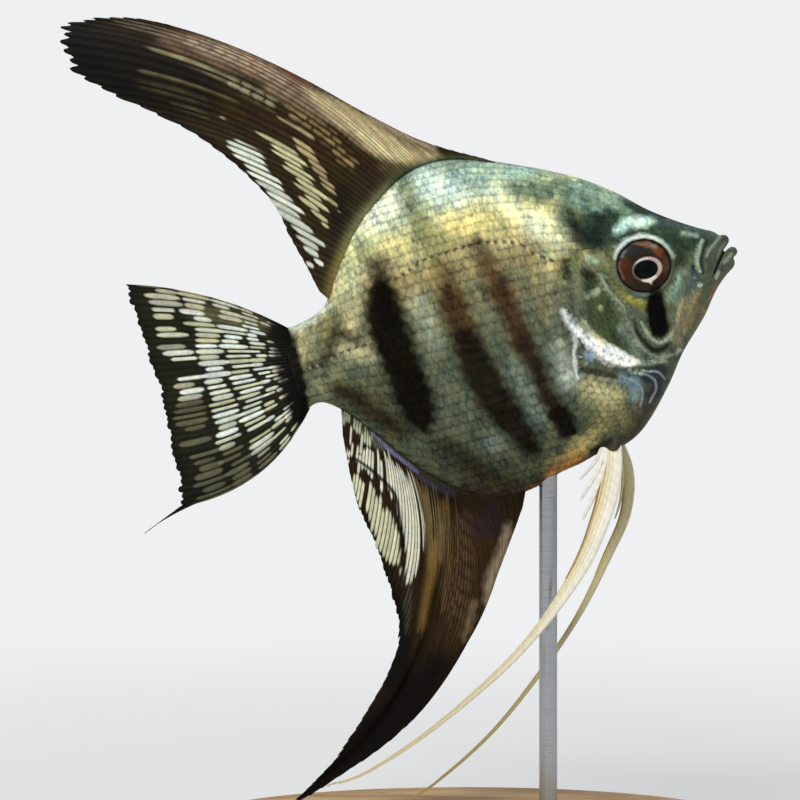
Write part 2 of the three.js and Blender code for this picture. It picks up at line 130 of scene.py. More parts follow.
def smooth_line(points, at):
    """The height at each place along a smooth line through the points."""
    x, y = np.array(points, float).T
    slope = np.empty_like(y)
    slope[1:-1] = (y[2:] - y[:-2]) / (x[2:] - x[:-2])
    slope[0] = (y[1] - y[0]) / (x[1] - x[0])
    slope[-1] = (y[-1] - y[-2]) / (x[-1] - x[-2])
    k = np.clip(np.searchsorted(x, at, side="right") - 1, 0, len(x) - 2)
    span = x[k + 1] - x[k]
    t = np.clip((at - x[k]) / span, 0, 1)
    t2, t3 = t * t, t * t * t
    return (
        (2 * t3 - 3 * t2 + 1) * y[k]
        + (t3 - 2 * t2 + t) * span * slope[k]
        + (3 * t2 - 2 * t3) * y[k + 1]
        + (t3 - t2) * span * slope[k + 1]
    )


def spline(points, at):
    """Points at each share, from 0 to 1, of an even spline through the points."""
    p = np.array(points, float)
    last = len(p) - 1
    t = np.clip(at, 0, 1) * last
    k = np.minimum(t.astype(int), last - 1)
    w = (t - k)[:, None]
    a, b, c, d = (p[np.clip(k + step, 0, last)] for step in (-1, 0, 1, 2))
    v0, v1 = (c - a) / 2, (d - b) / 2
    return (2 * b - 2 * c + v0 + v1) * w**3 + (3 * c - 3 * b - 2 * v0 - v1) * w**2 + v0 * w + b


def smooth_step(low, high, value):
    """0 up to low and 1 from high, with an even passage between them."""
    t = np.clip((value - low) / (high - low), 0, 1)
    return t * t * (3 - 2 * t)


def smooth_min(a, b, blend):
    """The lower of two values, rounded where they are within the blend of each other."""
    h = np.clip(0.5 + 0.5 * (b - a) / blend, 0, 1)
    return b + (a - b) * h - blend * h * (1 - h)


def smooth_max(a, b, blend):
    return -smooth_min(-a, -b, blend)


def gap_to_line(x, z, points, width=0.0):
    """How far each place is beyond the edge of a line of segments, whose points may carry half widths."""
    nodes = [(*p, width)[:3] for p in points]
    gap = np.full(np.shape(x), np.inf)
    for (ax, az, aw), (bx, bz, bw) in zip(nodes, nodes[1:] or nodes):
        dx, dz = bx - ax, bz - az
        t = np.clip(((x - ax) * dx + (z - az) * dz) / max(dx * dx + dz * dz, 1e-9), 0, 1)
        gap = np.minimum(gap, np.hypot(x - ax - t * dx, z - az - t * dz) - (aw + (bw - aw) * t))
    return gap


def line_mask(x, z, points, soft, width=0.0):
    """1 on a rounded line through the points and 0 away from it, with soft edges."""
    nodes = np.array([(*p, width)[:3] for p in points], float)
    if len(nodes) > 2:
        nodes = spline(nodes, np.linspace(0, 1, 3 * len(nodes) - 2))
    reach = nodes[:, 2].max() + soft
    low, high = nodes.min(0) - reach, nodes.max(0) + reach
    near = (x > low[0]) & (x < high[0]) & (z > low[1]) & (z < high[1])
    mask = np.zeros(np.shape(x))
    mask[near] = 1 - smooth_step(-soft, soft, gap_to_line(x[near], z[near], nodes))
    return mask


def gap_to_tube(x, y, z, nodes):
    """How far each point is from a round tube of changing radius."""
    gap = np.full(np.shape(x), np.inf)
    for a, b in zip(nodes, nodes[1:]):
        d = [b[i] - a[i] for i in range(3)]
        r = [x - a[0], y - a[1], z - a[2]]
        t = np.clip(sum(p * q for p, q in zip(r, d)) / sum(q * q for q in d), 0, 1)
        away = np.sqrt(sum((p - t * q) ** 2 for p, q in zip(r, d)))
        gap = np.minimum(gap, away - (a[3] + (b[3] - a[3]) * t))
    return gap


def gap_to_ball(x, y, z, centre, radii):
    """About how far each point is from a ball with a radius along each axis."""
    parts = [(p - c) / r for p, c, r in zip((x, y, z), centre, radii)]
    size = np.sqrt(sum(p * p for p in parts)) + 1e-6
    steep = np.sqrt(sum((p / r) ** 2 for p, r in zip(parts, radii))) / size
    return (size - 1) / (steep + 1e-6)


# ---------------------------------------------------------------- the form of the body


def section(x):
    """The body's section at x: its middle height, reach above and below, half width and keel below."""
    depth = COAT_DEPTH * (1 - 0.5 * smooth_step(50, 58, x))
    top = smooth_line(BACK, x) - depth
    bottom = smooth_line(BELLY, x) + depth
    middle = bottom + (top - bottom) * WIDEST_SHARE
    half = smooth_line(HALF_WIDTH, x) - depth
    return middle, top - middle, middle - bottom, half, smooth_line(BELLY_KEEL, x)


def body_form(x, side, z):
    """About how far a point is outside the plain body, in mm."""
    middle, above, below, half, belly_keel = section(x)
    up = z > middle
    reach = np.where(up, above, below)
    power = 2 / np.where(up, BACK_KEEL, belly_keel)
    across, high = side / half, (z - middle) / reach
    value = across**power + high * high - 1
    steep = np.hypot(power * np.maximum(across, 0.05) ** (power - 1) / half, 2 * high / reach)
    return value / np.maximum(steep, 0.05)


def head_form(x, side, z, form, body):
    """The form near the head with its lips, the slit of the mouth, the eyelids and the eye sockets."""
    form = smooth_min(form, gap_to_tube(x, side, z, UPPER_LIP), 0.45)
    form = smooth_min(form, gap_to_tube(x, side, z, LOWER_LIP), 0.45)
    slit = np.maximum(gap_to_line(x, z, MOUTH_SLIT), -MOUTH_DEPTH - form)
    form = smooth_max(form, -slit, 0.15)
    across, up = (x - EYE_AT[0]) / EYE_RADII[0], (z - EYE_AT[1]) / EYE_RADII[2]
    around = np.hypot(across, up)
    beyond = (around - 1) * SOCKET_REACH
    lid = 0.24 + 0.2 * smooth_step(-0.3, 0.9, up / np.maximum(around, 0.2))
    form = smooth_min(form, np.hypot(beyond - 0.28, body + 0.02) - lid, 0.4)
    socket = np.maximum(beyond + 0.12, SOCKET_FLOOR - side)
    return smooth_max(form, -socket, 0.12)


def skin_form(x, y, z):
    """About how far a point is outside the skin, in mm: the body with its fin roots, snout and head."""
    side = np.abs(y)
    body = body_form(x, side, z)
    form = smooth_max(body, 0.3 - x, 0.8)
    form = smooth_max(form, (x - SNOUT_END) * 0.966 + (z - 2.4) * 0.26, 1.2)
    form = smooth_min(form, gap_to_ball(x, side, z, *PECTORAL_ROOT), 0.8)
    form = smooth_min(form, gap_to_tube(x, side, z, PELVIC_ROOT), 0.9)
    head = x > 56
    if np.any(head):
        form[head] = head_form(x[head], side[head], z[head], form[head], body[head])
    return form


def form_and_normal(points):
    """The form at points and the way out of it, by small steps."""
    step = 0.02
    value = skin_form(*points.T)
    normal = np.stack([skin_form(*(points + step * way).T) - value for way in np.eye(3)], 1)
    size = np.linalg.norm(normal, axis=1, keepdims=True)
    return value * step / np.maximum(size[:, 0], 1e-6), normal / np.maximum(size, 1e-9)


def settle(points, rounds=3):
    """Moves points onto the skin's form along its normals."""
    for _ in range(rounds):
        value, normal = form_and_normal(points)
        points = points - np.clip(value, -0.4, 0.4)[:, None] * normal
    return points, form_and_normal(points)[1]


RELIEF = (
    # height in mm, softness, half width, line
    (-0.34, 0.3, 0.35, [(x - 0.55, z - 0.25) for x, z in GILL_EDGE]),
    (0.12, 0.35, 0.3, [(x + 0.3, z + 0.2) for x, z in GILL_EDGE]),
    (0.2, 0.35, 0.25, CHEEK_RIDGE),
    (-0.3, 0.28, 0.22, CHEEK_GROOVE),
    (0.14, 0.25, 0.2, CHEEK_RING),
    (0.16, 0.25, 0.2, SNOUT_EDGE),
    (-0.34, 0.25, 0.2, SNOUT_GROOVE),
    (-0.22, 0.3, 0.2, JAW_GROOVE),
    (0.2, 0.25, 0.25, SHOULDER_LINE),
    (-0.4, 0.25, 0.3, NOSTRIL),
    (-0.35, 0.2, 0.25, ((48.5, -7.4), (48.7, -9))),
    *((0.18, 0.22, 0.14, ray) for ray in THROAT_RAYS),
)


def relief(x, z):
    """How far the skin and its scales stand out at each place, by the lines of RELIEF."""
    height = np.zeros(np.shape(x))
    for depth, soft, width, line in RELIEF:
        height += depth * line_mask(x, z, line, soft, width)
    return height


def surface_net(values, axes):
    """An even skin of quads where the values on a grid change sign, with its vertices on the crossings."""
    inside = values < 0
    cells = tuple(n - 1 for n in values.shape)
    corners = [(i, j, k) for i in (0, 1) for j in (0, 1) for k in (0, 1)]
    count = np.zeros(cells, np.int8)
    for i, j, k in corners:
        count += inside[i : cells[0] + i, j : cells[1] + j, k : cells[2] + k]
    crossed = (count > 0) & (count < 8)
    number = np.full(cells, -1, np.int64)
    number[crossed] = np.arange(crossed.sum())
    cell = np.stack(np.nonzero(crossed), 1)
    total, hits = np.zeros((len(cell), 3)), np.zeros(len(cell))
    for axis in range(3):
        step = np.eye(3, dtype=int)[axis]
        for corner in corners:
            if corner[axis]:
                continue
            start = cell + corner
            end = start + step
            a, b = values[tuple(start.T)], values[tuple(end.T)]
            cut = (a < 0) != (b < 0)
            share = np.where(cut, a / np.where(cut, a - b, 1), 0)
            p = np.stack([axes[i][start[:, i]] for i in range(3)], 1)
            q = np.stack([axes[i][end[:, i]] for i in range(3)], 1)
            total[cut] += (p + (q - p) * share[:, None])[cut]
            hits += cut
    faces = []
    for axis in range(3):
        u, v = (axis + 1) % 3, (axis + 2) % 3
        lower = np.take(inside, range(cells[axis]), axis)
        upper = np.take(inside, range(1, cells[axis] + 1), axis)
        change = lower != upper
        at = np.stack(np.nonzero(change), 1)
        at = at[(at[:, u] > 0) & (at[:, v] > 0) & (at[:, u] < cells[u]) & (at[:, v] < cells[v])]
        ring = []
        for du, dv in ((-1, -1), (0, -1), (0, 0), (-1, 0)):
            cell_at = at.copy()
            cell_at[:, u] += du
            cell_at[:, v] += dv
            ring.append(number[tuple(cell_at.T)])
        quads = np.stack(ring, 1)
        outward = lower[tuple(at.T)]
        quads[~outward] = quads[~outward][:, ::-1]
        faces.append(quads)
    return total / hits[:, None], np.concatenate(faces)


def relaxed(points, faces, share):
    """Each point moved a share of the way to the mean of its neighbours."""
    total, count = np.zeros_like(points), np.zeros(len(points))
    for a in range(4):
        for b in ((a + 1) % 4, (a + 3) % 4):
            for axis in range(3):
                total[:, axis] += np.bincount(faces[:, a], points[faces[:, b], axis], len(points))
            count += np.bincount(faces[:, a], minlength=len(points))
    return points + share * (total / count[:, None] - points)


# ---------------------------------------------------------------- colours of the fish


def tint(code):
    """A colour written as red, green and blue in hexadecimal, as linear numbers."""
    parts = np.array([int(code[i : i + 2], 16) / 255 for i in (0, 2, 4)])
    return np.where(parts <= 0.04045, parts / 12.92, ((parts + 0.055) / 1.055) ** 2.4)


def over(colour, tone, mask):
    """Colours with a tone laid over them as far as the mask says, from 0 to 1."""
    return colour * (1 - mask[:, None]) + tone * mask[:, None]


# Height on the flank and colour: darker towards the belly, and a pale gold and cream band high on the flank
# that is partly the fish's own colour and partly a painted highlight.
FLANK_RAMP = (
    (-29, "3e402c"), (-22, "4a5140"), (-12, "535c4b"), (-3, "5b6350"), (4, "74775a"), (9, "958f69"),
    (12.5, "bdb384"), (16, "d8d292"), (19.5, "cfd9b2"), (23, "a8c2b0"), (28, "74897a"),
)


def ring_around_eye(start, end, reach, width):
    """A line round the eye between two angles, thinner at its ends unless it goes all the way round."""
    share = np.linspace(0, 1, 13)
    angle = np.radians(start + (end - start) * share)
    swell = 1 if end - start >= 360 else 0.3 + 0.7 * np.sin(math.pi * share)
    x = EYE_AT[0] + (EYE_RADII[0] + reach) * np.cos(angle)
    z = EYE_AT[1] + (EYE_RADII[2] + reach) * np.sin(angle)
    return np.stack([x, z, width * swell * np.ones(len(share))], 1)


def with_width(line, width):
    return tuple((x, z, width) for x, z in line)


MARKS = (
    # colour, strength, softness, line of x, z and half width
    ("b9b48c", 0.85, 2.6, ((14, 12.5, 3.2), (9.5, 9, 1.2))),
    ("7e7a55", 0.85, 2, ((9.5, 6.4, 2), (6.5, 7.2, 1))),
    ("a5a27c", 0.85, 1.6, ((4.4, 5.4, 1.2), (3, 3, 1.2))),
    ("c4bf94", 0.8, 1.6, ((13.6, 8, 1.4), (12.6, 4.6, 1))),
    ("b9b78e", 0.75, 1.6, ((10.5, 1.5, 1.4), (14.6, -0.5, 1.2))),
    ("777a5c", 0.85, 1.8, ((2, -5, 1.6), (6.5, -3.4, 1.6))),
    ("53563e", 0.85, 2, ((8, -7, 1.4), (13, -6, 2), (14.5, -14, 1.6))),
    ("d6e0cb", 0.95, 1, ((1, 7.9, 0.5), (4.4, 7.6, 0.6), (9.4, 9.6, 0.7))),
    ("c0ca9c", 0.95, 2.2, ((12.6, 10.8, 1.2), (16.2, 16.2, 2), (19.4, 19.4, 2.2))),
    # Pale cream of the rear back, painted brighter still as a highlight.
    ("eef5dd", 0.95, 2, ((20.4, 21.2, 1.8), (24.4, 23.2, 2.2))),
    ("7c7f5c", 0.8, 1.6, ((17.4, 16.6, 1.2), (19, 13.4, 1.2))),
    # Pale mint-cream of the back, painted brighter still as a highlight.
    ("dcf1e4", 0.95, 2.2, ((31, 25.2, 2), (33.6, 22.6, 2), (35.4, 20, 2))),
    ("aecdba", 0.8, 1.6, ((36, 24.6, 1), (39.4, 23.4, 1))),
    ("d2ead8", 0.6, 1.4, ((40.6, 19.8, 1), (44, 20, 0.8))),
    ("70774f", 0.85, 1.8, ((27.1, 24.8, 1.2), (27.6, 20.5, 1.6), (28.9, 15.5, 2), (28.8, 12, 1.4))),
    ("8f8a58", 0.6, 1.6, ((33.6, 15, 1.2), (31.4, 13.2, 1.4), (36.5, 12.6, 1))),
    ("e0d68f", 0.75, 2, ((33.5, 18, 1.4), (38, 17, 2.1), (43, 14.8, 2))),
    # Pale cream before the nape, painted brighter still as a highlight.
    ("f0f8d0", 0.9, 1.8, ((42, 18, 1.2), (46, 13.8, 1.8), (49.2, 10.6, 1.9))),
    # Grey-teal along the back's top edge, partly its own colour and partly a painted highlight.
    ("8fa8a0", 0.7, 1.2, ((40, 26.4, 0.6), (46.4, 23.4, 0.7), (52.8, 19.9, 0.5))),
    ("5b7563", 0.9, 1.5, ((44.5, 20, 1.2), (48.4, 18, 2.2), (52.6, 17.6, 1.8), (51.4, 11.6, 1.8))),
    ("a4cdbf", 0.75, 1, ((44.6, 22.6, 0.6), (47.4, 21.6, 0.7))),
    ("c6cea2", 0.8, 1.4, ((47, 7.6, 1), (49.6, 7.8, 0.9))),
    ("998a5a", 0.55, 2, ((24, 10, 1.4), (31, 8.8, 1.4), (42, 7.8, 1.4), (46, 5, 1.4))),
    ("b3bda9", 0.45, 1.6, ((24.6, 6, 1.2), (25.6, -2, 0.9))),
    ("7a6f4e", 0.6, 1.6, ((34.6, 3.4, 1.2), (43.4, 2.2, 1.2), (43.8, -3, 1))),
    ("73837a", 0.6, 1.8, ((36.6, -9.5, 1.4), (38.6, -17, 1.6), (30, -20, 1.4))),
    ("a9b6ab", 0.8, 1.5, ((44.7, -8, 1), (45, -13.2, 1.6))),
    ("b3ae84", 0.7, 1.6, ((46.6, 5.2, 1.2), (46.2, 2, 0.9))),
    ("8b8d74", 0.6, 1.4, ((45.8, -1, 0.8), (45.2, -4, 0.8))),
    ("262012", 0.85, 2, ((21.8, -17.6, 1.2), (25.5, -22.5, 2.2), (29.5, -27, 1.8))),
    ("241e10", 0.95, 1.6, ((7.4, -4.4, 1.2), (9.6, -6.4, 1.6), (12, -9.5, 1.6), (15.8, -14, 1.4))),
    ("2e2a1a", 0.85, 1.2, ((13, 2.4, 0.7), (9.4, 4.6, 1.1), (7.4, 1.2, 0.9), (3.5, 0.4, 0.5))),
    ("372c28", 0.8, 1.6, ((24, -26.5, 1.4), (29, -28.6, 1.3), (32, -28.6, 1.2))),
    ("b09a66", 0.8, 0.9, ((38, -25.8, 0.5), (41, -25.3, 0.7), (44, -24.7, 0.7))),
    ("a87a40", 0.92, 0.9, ((37.4, -27.6, 0.5), (40.5, -26.8, 0.9), (43.6, -26.2, 0.7))),
    ("6b4426", 0.8, 0.9, ((33.5, -29.3, 0.5), (36.4, -28.6, 0.6))),
    ("b9b586", 0.9, 2.2, ((48.4, -15.5, 1.8), (50.5, -18, 2.2))),
    ("726f4e", 0.8, 2, ((49, -21.8, 2.2), (53.5, -21, 1.4))),
    ("a39a66", 0.85, 1.2, ((42.6, -23.4, 0.5), (45.6, -23.6, 1.1), (47.4, -22.4, 0.4))),
    ("3d342b", 0.8, 1, ((57.6, -18.5, 0.8), (53.9, -23.8, 1), (49.5, -25.8, 0.9))),
    # Painted shadow behind the root of the pelvic fin.
    ("15100a", 0.9, 0.5, ((45.2, -25.7, 0.4), (47.6, -25.2, 0.7), (48.8, -24.6, 0.5))),
    ("2a2010", 0.9, 2, ((19.8, 13.6, 1.6), (19.4, 11, 2.2), (19, 9, 2.6))),
    ("0b0703", 0.99, 1.3, ((19.1, 9.6, 2), (18.7, 6, 3.4), (18.5, 2.1, 3.5), (19.1, -3.4, 3.4),
                           (19.5, -8.6, 3.5), (19.8, -11.7, 3), (19.7, -13.6, 2.1))),
    ("4f3d20", 0.75, 1.8, ((29.9, 10.4, 1.4), (30.1, 7, 2), (30, 4, 2.2))),
    ("3c2b17", 0.95, 1.4, ((30, 5, 2), (30.3, 0.6, 2.4), (30.6, -3, 2.6))),
    ("120a05", 0.97, 1.4, ((30.7, -2.4, 1.7), (31.1, -6.7, 3), (32.3, -12.2, 3), (34, -17, 2.8),
                           (35.2, -20.1, 2.4), (36, -22.3, 1.7))),
    ("4a3520", 0.85, 1.5, ((36.4, 12, 1.3), (37.3, 8.2, 1.8), (38.4, 3, 1.8))),
    ("3f2a1a", 0.95, 1.3, ((38.2, 4, 1.6), (38.9, -1, 1.8), (39.4, -5.5, 1.8))),
    ("20130a", 0.95, 1.1, ((39.5, -5.5, 1.5), (40.6, -10.7, 1.4), (40.8, -14.7, 1.4), (41.6, -17.5, 1.6))),
    ("0f0905", 0.97, 0.7, ((42.2, -18.8, 2), (42.6, -21, 1.6))),
    ("0c0a06", 0.98, 0.5, ((0.6, 8.4, 0.6), (1.2, 5.4, 1.2), (1.3, 0.5, 1.3), (0.9, -4, 1.2),
                           (0.2, -6.6, 0.7))),
)

HEAD_MARKS = (
    ("344537", 1, 2.2, ((55.4, 15.6, 2), (56.2, 9, 3.6), (60, 9.5, 4.6), (66, 4.5, 4.4), (72, 3, 3))),
    ("545e48", 1, 1.3, ((56, -1, 4), (60, -6, 5), (66, -4, 4.5), (71, -1.5, 3))),
    ("8aa896", 0.9, 1.1, ((55, 17.4, 1.3), (58.5, 14.4, 1.3), (61.5, 12, 1))),
    ("2e3a31", 0.9, 1.2, ((62, 12, 1.2), (68, 7.3, 1.2), (72.8, 4.6, 0.9))),
    ("86ac9a", 0.75, 0.9, ((53.2, 15.4, 0.8), (55.4, 13.4, 0.8), (57.4, 12.2, 0.6))),
    ("18221b", 0.9, 1.2, ((52.4, 12.8, 0.9), (53.6, 8.6, 1.4), (55.4, 7.6, 1.4), (57, 10.8, 1.2))),
    ("d4fbea", 0.95, 0.8, ((59, 8, 0.4), (60.8, 8.9, 0.9), (63.2, 8.6, 0.9), (65, 8.3, 0.5))),
    ("7fa593", 0.6, 0.8, ((61.6, 10.8, 0.5),)),
    ("50605a", 0.85, 0.9, ((65.6, 8.6, 0.5), (69.9, 6, 0.6), (74, 3.1, 0.4))),
    ("a9c2b4", 0.7, 0.5, ((69.4, 4.9, 0.3), (71.2, 4.1, 0.35))),
    ("2e3528", 0.9, 1, ((68.8, 2.9, 1), (67.3, 0.4, 1))),
    ("738776", 0.9, 0.9, ((66.8, -1.7, 1), (65.2, -4.6, 1.1))),
    ("8fa891", 0.6, 0.5, ((66.6, -2.2, 0.5), (65.4, -4.2, 0.5))),
    ("4a5658", 0.8, 0.7, ((68.6, -2.6, 0.8), (68.2, -4.8, 0.8))),
    ("8a8064", 0.9, 0.9, ((67.6, -6, 1), (65.6, -8.9, 1.2), (63.4, -11.6, 0.8))),
    ("b5a988", 0.6, 0.25, ((66.4, -5.4, 0.2), (65, -8, 0.25), (63.6, -10.2, 0.2))),
    ("a69a78", 0.6, 0.25, ((68, -6.4, 0.2), (66.6, -8.6, 0.25), (65, -10.6, 0.2))),
    ("7c7440", 0.7, 0.4, ((68.8, -9, 0.3), (66, -11.6, 0.3))),
    ("79704c", 0.7, 0.5, ((69.4, -5, 0.4), (66.2, -9.9, 0.5))),
    ("686a42", 0.95, 0.8, ((57, 4.6, 0.6), (56.4, 0.6, 0.7), (57.2, -3.2, 0.9), (60, -5.2, 0.8))),
    ("8a8a48", 0.8, 0.45, ((56.9, -1.6, 0.35), (58.5, -3.9, 0.5), (60.4, -4.6, 0.4))),
    ("4c5546", 0.9, 0.6, ((57.8, -4.8, 0.6), (59, -7.8, 0.8), (60.2, -9.8, 0.5))),
    ("39442f", 0.95, 0.9, ((52.9, 0.6, 1.5), (52.8, -3.3, 2.2), (53.4, -7, 2.2), (55, -10.6, 1.5))),
    ("6e7c6e", 0.8, 0.9, ((55.6, -7.6, 0.8), (56.8, -12.2, 0.8))),
    ("8d9c84", 0.8, 0.45, ((51.6, -0.9, 0.5), (53.4, -0.6, 0.5))),
    ("8b9272", 0.7, 0.35, ((53.1, -3.5, 0.45),)),
    ("5c5e44", 0.7, 0.15, ((53.1, -3.5, 0.1),)),
    ("24251a", 0.95, 0.6, ((49.7, 5.2, 0.7), (49.1, 3, 0.7))),
    ("2c2c1a", 0.9, 0.6, ((52.4, 2.7, 0.95), (53.4, 2, 0.7))),
    ("a9c6a6", 0.85, 0.6, ((53.4, 5, 0.5), (54.4, 4.2, 0.4))),
    ("8d9650", 0.6, 0.7, ((51, 4.4, 0.6), (52, 6.8, 0.6))),
    ("8f9a8c", 0.9, 0.35, ((56, -13.4, 0.35), (57.6, -13.9, 0.35), (61, -14.5, 0.25))),
    ("f4f9f6", 0.97, 0.5, ((46.9, -2.2, 0.35), (47.9, -5.2, 0.8), (49.8, -8.3, 1.2), (52.2, -10.9, 1.5),
                           (54.6, -12.7, 1.1), (56.4, -13.6, 0.4))),
    ("c3c49c", 0.75, 0.5, ((49.6, -4.7, 0.3), (50.9, -7.4, 0.4), (52.2, -9.2, 0.3))),
    ("dde4e2", 0.95, 0.22, with_width(SHOULDER_LINE, 0.32)),
    ("18222a", 0.9, 0.2, ((48.4, -7.4, 0.3), (48.7, -9.1, 0.28))),
    ("8fa8c4", 0.85, 0.35, ((48.9, -10, 0.5), (49.4, -11, 0.4))),
    ("2a241c", 0.85, 0.35, ((47.7, -12.3, 0.3), (49.8, -13.3, 0.5), (52.4, -14.8, 0.4))),
    ("7d95a0", 0.85, 0.7, ((53.4, -15.6, 0.8), (55.2, -16.6, 0.9), (54.4, -18.8, 0.8))),
    ("232c36", 0.9, 0.6, ((57.4, -16.4, 1), (60, -16, 0.8), (57.6, -19.2, 1.1))),
    *(("9aacb2", 0.85, 0.16, with_width(ray, 0.14)) for ray in THROAT_RAYS),
    ("a3ad98", 0.75, 0.35, with_width(CHEEK_RIDGE, 0.2)),
    ("5a6455", 0.7, 0.9, ((57.4, -5.6, 0.8), (57.8, -9.4, 0.7), (59.6, -12.4, 0.5))),
    # Painted shade along the cheek's groove.
    ("17120d", 0.95, 0.35, ((57.7, -7, 0.1), (57.9, -9.4, 0.3), (59.2, -12, 0.4), (60.6, -12.7, 0.45),
                            (62.2, -12, 0.3))),
    ("050604", 1, 0.4, ((62.4, -3, 1.1), (61.7, -6.1, 1.65), (61.4, -9.2, 1.6))),
    ("a7b3a2", 0.9, 0.3, with_width(CHEEK_RING, 0.16)),
    ("a9c0a8", 0.9, 0.2, with_width(SNOUT_EDGE, 0.26)),
    # Painted shade along the snout's groove.
    ("1e231d", 0.9, 0.2, with_width(SNOUT_GROOVE, 0.24)),
    ("3f483b", 0.95, 0.45, ((75.6, 2.5, 0.9), (74, 1.2, 0.75), (72.7, -0.6, 0.6), (71.7, -2.2, 0.5))),
    # Painted highlight along the crest of the upper lip.
    ("9faea2", 0.8, 0.25, ((75, 2.8, 0.15), (74.3, 2.3, 0.2), (72.9, 1.3, 0.2), (71.9, 0.2, 0.15))),
    ("7e8c80", 0.7, 0.2, ((75.6, 1.7, 0.15), (74.6, 0.9, 0.2), (73.4, -0.6, 0.15))),
    ("4a554a", 0.95, 0.4, ((76.4, 0.2, 0.8), (74.7, -1.2, 0.6), (73, -2.7, 0.5))),
    ("9aa592", 0.8, 0.2, ((76, -0.5, 0.22), (75.2, -1.1, 0.28), (74.4, -1.6, 0.22))),
    ("b9c4b0", 0.85, 0.2, ((73.2, -2.8, 0.22), (72.6, -3.6, 0.25))),
    # Painted shade in the slit between the lips.
    ("2e2c1f", 0.85, 0.14, tuple((x, z, w * 0.7) for x, z, w in MOUTH_SLIT)),
    ("9a7a50", 0.4, 0.3, ((72.2, -4.6, 0.3), (70.8, -6.2, 0.35), (68.6, -8.2, 0.3))),
    ("7a4a30", 0.6, 0.3, ((71.8, -5.4, 0.3), (71.2, -6.2, 0.3))),
    ("a8813c", 0.85, 0.2, ((69.2, -8.3, 0.32),)),
    ("c6d0c0", 0.85, 0.2, ((69.7, -4, 0.35),)),
    ("d2dccb", 0.85, 0.15, ((70.3, -1.9, 0.22),)),
    ("30374c", 0.9, 0.2, ((69.4, -0.9, 0.35), (69.1, -2, 0.25))),
    ("a49ab8", 0.85, 0.12, ((69.1, -2.7, 0.16),)),
    ("4e5038", 0.85, 0.35, ring_around_eye(-75, 30, 0.35, 0.35)),
    ("6a745a", 0.8, 0.35, ring_around_eye(140, 215, 0.35, 0.3)),
    ("6b7f90", 0.7, 0.25, ring_around_eye(-128, -94, 0.3, 0.22)),
    ("bfe0d0", 0.85, 0.4, ring_around_eye(0, 80, 0.4, 0.35)),
    ("eefaf2", 0.97, 0.42, ring_around_eye(38, 150, 0.4, 0.37)),
    ("2a2418", 0.7, 0.1, ring_around_eye(-180, 180, -0.12, 0.06)),
)


def wobble(x, z, size):
    """A gentle, repeatable waver that keeps painted edges from looking ruled."""
    return size * (np.sin(1.7 * x + 2.3 * z) + 0.6 * np.sin(3.9 * x - 3.1 * z + 1.3)) / 1.6


def painted(colour, x, z, marks, waver):
    """Colours at x and z with each mark laid over the ones before, its edge wavering."""
    for code, strength, soft, line in marks:
        size = waver * min(soft, 1)
        mask = line_mask(x + wobble(x, z, size), z + wobble(z, x, size), line, soft)
        colour = over(colour, tint(code), strength * mask)
    return colour


def fish_colours(points):
    """The colour of skin and coat at points of the fish's own frame."""
    x, z = points[:, 0], points[:, 2]
    heights = [h for h, _ in FLANK_RAMP]
    colours = np.array([tint(code) for _, code in FLANK_RAMP])
    base = np.stack([np.interp(z, heights, colours[:, i]) for i in range(3)], 1)
    colour = painted(base, x, z, MARKS, 0.35)
    pores = smooth_step(-0.7, 0.2, np.sin(x * 2 * math.pi / 1.35))
    for line, dark, light in ((LATERAL_UPPER, "241f12", "d8d2a4"), (LATERAL_LOWER, "3c3826", "b5b492")):
        near = line_mask(x, z, line, 0.25, 0.24)
        colour = over(colour, tint(dark), 0.9 * pores * near)
        colour = over(colour, tint(light), 0.3 * (1 - pores) * near)
    return painted(colour, x, z, HEAD_MARKS, 0.25)


# ---------------------------------------------------------------- meshes


def make_piece(name, points, faces, layers, material, bake_map=None):
    """A smooth object from own-frame points, groups of faces of like size and layers of vertex numbers."""
    mesh = bpy.data.meshes.new(name)
    sizes = np.concatenate([np.full(len(group), group.shape[1]) for group in faces])
    corners = np.concatenate([group.ravel() for group in faces])
    mesh.vertices.add(len(points))
    mesh.vertices.foreach_set("co", place(points).ravel())
    mesh.loops.add(len(corners))
    mesh.loops.foreach_set("vertex_index", corners)
    mesh.polygons.add(len(sizes))
    mesh.polygons.foreach_set("loop_start", np.concatenate([[0], np.cumsum(sizes)[:-1]]))
    mesh.polygons.foreach_set("use_smooth", np.ones(len(sizes), bool))
    for layer, values in {"own": points, **layers}.items():
        colour = values.shape[1] == 4
        attribute = mesh.attributes.new(layer, "FLOAT_COLOR" if colour else "FLOAT_VECTOR", "POINT")
        attribute.data.foreach_set("color" if colour else "vector", values.astype(np.float32).ravel())
    if bake_map is not None:
        mesh.uv_layers.new(name="OFBake").data.foreach_set("uv", bake_map[corners].astype(np.float32).ravel())
    mesh.update(calc_edges=True)
    mesh.materials.append(material)
    piece = bpy.data.objects.new(name, mesh)
    bpy.context.scene.collection.objects.link(piece)
    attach(piece, "root")
    return piece


def with_alpha(colour, alpha=1.0):
    """Colours with a fourth number, how solid they are."""
    return np.concatenate([colour, np.broadcast_to(np.reshape(alpha, (-1, 1)), (len(colour), 1))], 1)


def grid_faces(columns, rows, first=0, flip=False, closed=False):
    """Quads over a grid of points that is stored column by column."""
    last = columns if closed else columns - 1
    c, r = np.meshgrid(np.arange(last), np.arange(rows - 1), indexing="ij")
    a = first + (c * rows + r).ravel()
    b = first + (((c + 1) % columns) * rows + r).ravel()
    quads = np.stack([a, b, b + 1, a + 1], 1)
    return quads[:, ::-1] if flip else quads


# ---------------------------------------------------------------- skin

# From, to and step of each stretch of the skin's grid, finer on the head and along the flank's middle.
SKIN_GRID_X = ((-0.6, 45, 0.45), (45, 78.6, 0.19))
SKIN_GRID_Y = ((0.12, 7.4, 0.24),)
SKIN_GRID_Z = ((-30.8, -17, 0.42), (-17, 17, 0.21), (17, 30.2, 0.42))
# How many of its steps along the fish are worked out at once.
SLAB = 24


